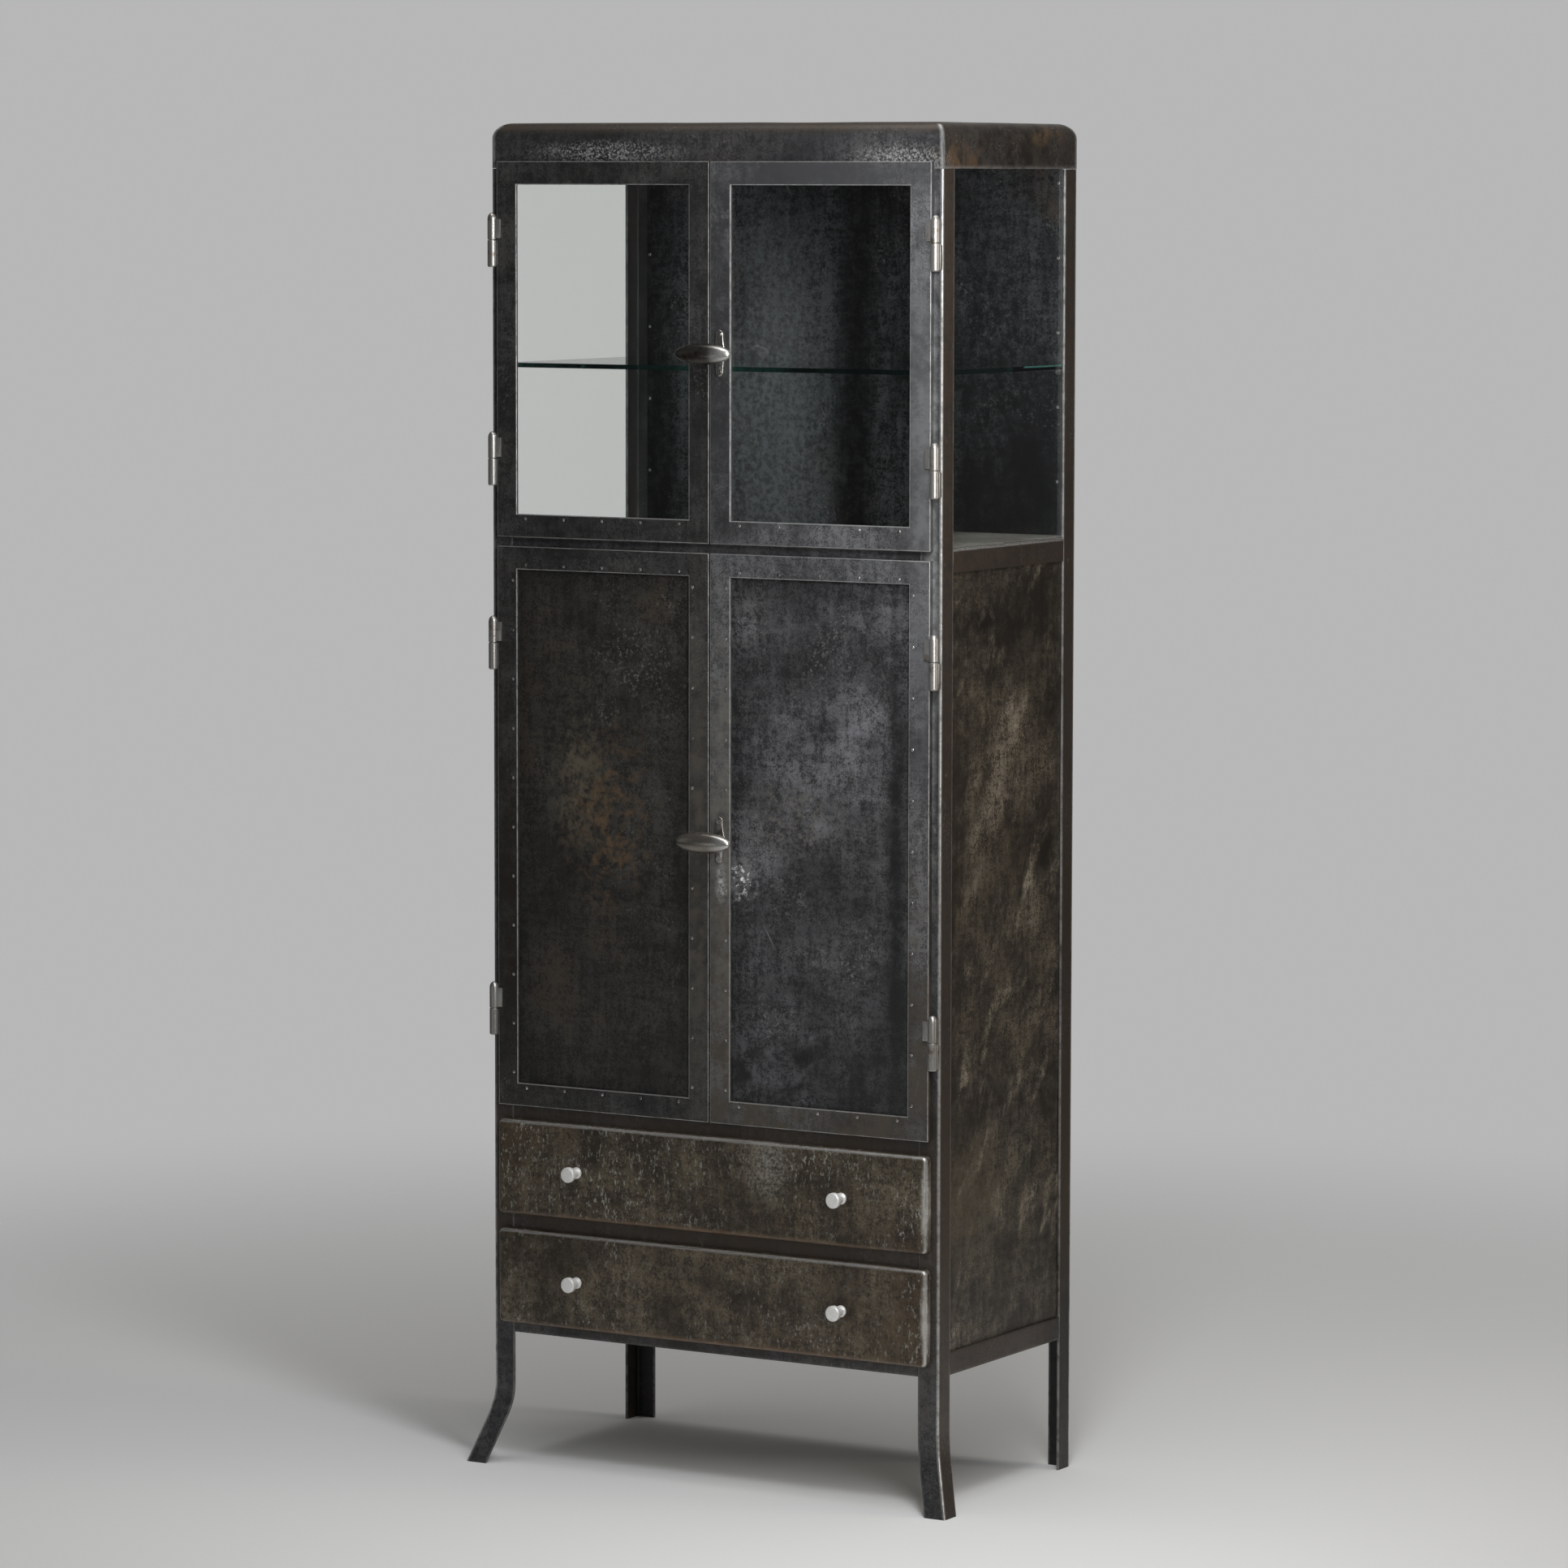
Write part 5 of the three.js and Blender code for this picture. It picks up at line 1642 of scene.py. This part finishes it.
# %% Rivets and screws
RAIL_PITCH = 58 * MM
STILE_PITCH = 67 * MM
BACK_PITCH = 95 * MM
RIVET_INSET = 6 * MM
RIVET_CORNER = 14 * MM
FACE_FRONT = (math.radians(90), 0, 0)
FACE_BACK = (math.radians(-90), 0, 0)
SCREW_TURN = (math.radians(90), math.radians(35), 0)


def door_rivets(level, hand):
    low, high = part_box(f"door_frame_{level}_{hand}")
    inner_low = low + Vector((STILE, 0, STILE))
    inner_high = high - Vector((STILE, 0, STILE))
    columns = spaced(inner_low.x + RIVET_CORNER, inner_high.x - RIVET_CORNER, RAIL_PITCH)
    points = [(x, low.y, inner_low.z - RIVET_INSET) for x in columns]
    if level == "lower":
        points += [(x, low.y, inner_high.z + RIVET_INSET) for x in columns]
        for z in spaced(inner_low.z + RIVET_CORNER, inner_high.z - RIVET_CORNER, STILE_PITCH):
            points += [(x, low.y, z) for x in (inner_low.x - RIVET_INSET, inner_high.x + RIVET_INSET)]
    name = f"door_rivets_{level}_{hand}"
    mesh = copies_on(name, RIVETS, points, FACE_FRONT, RIVET_STEEL)
    keep(name, mesh, RIVET_STEEL, f"{level}_{hand}_door", "frame_steel")
    return len(points)


def back_rivets():
    low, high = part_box("back_panel")
    x = (high.x + half_width - ANGLE_LEG) / 2
    rows = spaced(low.z + 2 * ANGLE_LEG, high.z - ANGLE_LEG, BACK_PITCH)
    made = 0
    for face, y, turn in (("inside", high.y - SHEET_WALL, FACE_FRONT), ("outside", back_y, FACE_BACK)):
        name = f"back_rivets_{face}"
        points = [(side * x, y, z) for side in HANDS.values() for z in rows]
        mesh = copies_on(name, RIVETS, points, turn, RIVET_STEEL)
        keep(name, mesh, RIVET_STEEL, "carcass", "panel_steel")
        made += len(points)
    return made


def rosette_screws(level):
    low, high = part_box(f"rosette_{level}")
    middle = (low + high) / 2
    points = [(middle.x, low.y, middle.z + side * ROSETTE_REACH) for side in HANDS.values()]
    name = f"rosette_screws_{level}"
    mesh = copies_on(name, SCREWS, points, SCREW_TURN, ROSETTE_STEEL)
    keep(name, mesh, ROSETTE_STEEL, f"{level}_right_door", "rosette_steel")
    return len(points)


print("door rivets:", [door_rivets(level, hand) for level in LEVELS for hand in HANDS])
print("back rivets:", back_rivets(), "screws:", [rosette_screws(level) for level in LEVELS])

# %% [markdown]
# The pieces that are plain in real life keep their CAD shape and only get a finish: panes, shelves,
# floors, runners, drawer trays and the back.

# %% Finishes for the plain pieces
plain = {
    "glass_shelf": SHELF_GLASS, "back_panel": BACK_STEEL, "upper_floor": FLOOR_STEEL,
    "lower_floor": INNER_STEEL, "steel_shelf": INNER_STEEL,
}
for hand in HANDS:
    plain[f"door_glass_{hand}"] = DOOR_GLASS
    plain[f"side_glass_{hand}"] = SIDE_GLASS
    plain[f"drawer_runner_{hand}"] = INNER_STEEL
for level in LEVELS:
    plain[f"drawer_box_{level}"] = INNER_STEEL
for name, material in plain.items():
    mesh = frame["nodes"][name].data
    mesh.materials.clear()
    mesh.materials.append(material)
print("plain pieces:", len(plain))

# %% [markdown]
# The studio is a pale floor that melts into a pale backdrop. The backdrop that the camera sees, also
# through glass, is the world's own colour. Mirrors see it where it stands, behind the cabinet, and a
# dim room elsewhere. The light that the world gives is set apart from both.

# %% Backdrop and floor
BACKDROP = (0.47, 0.475, 0.47, 1)
THROUGH_GLASS = (0.62, 0.63, 0.62, 1)
MIRRORED_ROOM = (0.025, 0.025, 0.025, 1)
WORLD_LIGHT = (0.1, 0.1, 0.1, 1)
WALL_DIRECTION = (-math.sin(CAMERA_YAW), math.cos(CAMERA_YAW), 0)
WALL_SPREAD = (0.75, 0.9)
HALF_A_BOUNCE = 0.5
FLOOR_TONE = (0.8, 0.8, 0.79, 1)
FLOOR_ROUGHNESS = 0.9
FLOOR_RADIUS = 14.0
FLOOR_SIDES = 96
FLOOR_FADE = (0.8, 3.2)


def make_world():
    world = bpy.data.worlds.new("studio")
    world.use_nodes = True
    tree = world.node_tree
    tree.nodes.clear()
    path = add(tree, "ShaderNodeLightPath").outputs
    bounces = maths(tree, "ADD", path["Diffuse Depth"], path["Glossy Depth"])
    first = maths(tree, "LESS_THAN", bounces, HALF_A_BOUNCE)
    looking_through = maths(tree, "MULTIPLY", path["Is Transmission Ray"], first)
    heading = add(tree, "ShaderNodeTexCoord").outputs["Generated"]
    ahead = vector_maths(tree, "DOT_PRODUCT", heading, WALL_DIRECTION)["Value"]
    mirrored = mix_colour(tree, ramp(tree, ahead, *WALL_SPREAD), MIRRORED_ROOM, BACKDROP)
    views = (
        (path["Is Glossy Ray"], mirrored),
        (looking_through, THROUGH_GLASS),
        (path["Is Camera Ray"], BACKDROP),
    )
    colour = WORLD_LIGHT
    for ray, seen in views:
        colour = mix_colour(tree, ray, colour, seen)
    background = add(tree, "ShaderNodeBackground", {"Color": colour, "Strength": 1.0})
    add(tree, "ShaderNodeOutputWorld", {"Surface": background.outputs[0]})
    bpy.context.scene.world = world
    return world


def make_floor():
    material, tree, shader = new_material("floor")
    shader.inputs["Base Color"].default_value = FLOOR_TONE
    shader.inputs["Roughness"].default_value = FLOOR_ROUGHNESS
    away = vector_maths(tree, "LENGTH", object_place(tree))["Value"]
    below = add(tree, "ShaderNodeNewGeometry").outputs["Backfacing"]
    fade = maths(tree, "MAXIMUM", ramp(tree, away, *FLOOR_FADE), below)
    clear = add(tree, "ShaderNodeBsdfTransparent")
    mixed = add(tree, "ShaderNodeMixShader", {0: fade, 1: shader.outputs[0], 2: clear.outputs[0]})
    tree.links.new(mixed.outputs[0], tree.nodes["Material Output"].inputs["Surface"])
    bm = bmesh.new()
    bmesh.ops.create_circle(bm, cap_ends=True, segments=FLOOR_SIDES, radius=FLOOR_RADIUS)
    mesh = bpy.data.meshes.new("floor")
    bm.to_mesh(mesh)
    bm.free()
    mesh.materials.append(material)
    floor = placed("floor", mesh)
    return floor


print("stage:", make_world().name, make_floor().name)

# %% [markdown]
# Soft lamps stand at the front right, the left, the right and overhead. The key lights the fronts, the
# corner lamp and the sheen draw the edges, and a warm one from the side browns the side sheets. Neither
# the camera nor the glass shows the lamps themselves. Each lamp's size is its width and height, in
# metres.

# %% Lamps
WHITE = (1.0, 1.0, 1.0)
COOL = (0.92, 0.96, 1.0)
WARM = (1.0, 0.88, 0.74)
LAMPS = {
    "key": ((0.95, -0.9, 1.45), (0.2, -0.1, 1.1), (0.4, 1.5), 12, WHITE),
    "corner": ((0.7, -0.75, 1.75), (0.28, -0.15, 1.45), (0.2, 0.4), 7, COOL),
    "sheen": ((-1.0, -3.0, 0.4), (0.1, -0.15, 0.9), (1.1, 0.8), 2, COOL),
    "fill": ((-3.2, -2.0, 1.6), (0, 0, 0.9), (1.6, 2.2), 2, WHITE),
    "top": ((0.3, -0.2, 4.0), (0, 0, 1.0), (2.5, 2.5), 60, WHITE),
    "side": ((4.5, 1.2, 1.5), (0.3, 0, 0.9), (1.2, 2.0), 32, WARM),
}


def make_lamp(name, place, target, size, watts, colour):
    data = bpy.data.lights.new(name, "AREA")
    data.shape = "RECTANGLE"
    data.size, data.size_y = size
    data.energy = watts
    data.color = colour
    lamp = placed(name, data)
    lamp.location = place
    lamp.rotation_euler = (Vector(target) - Vector(place)).to_track_quat("-Z", "Y").to_euler()
    lamp.visible_camera = False
    lamp.visible_transmission = False


for name, settings in LAMPS.items():
    make_lamp(name, *settings)
bpy.context.scene.view_settings.view_transform = "Standard"
print("lamps:", len(bpy.data.lights))
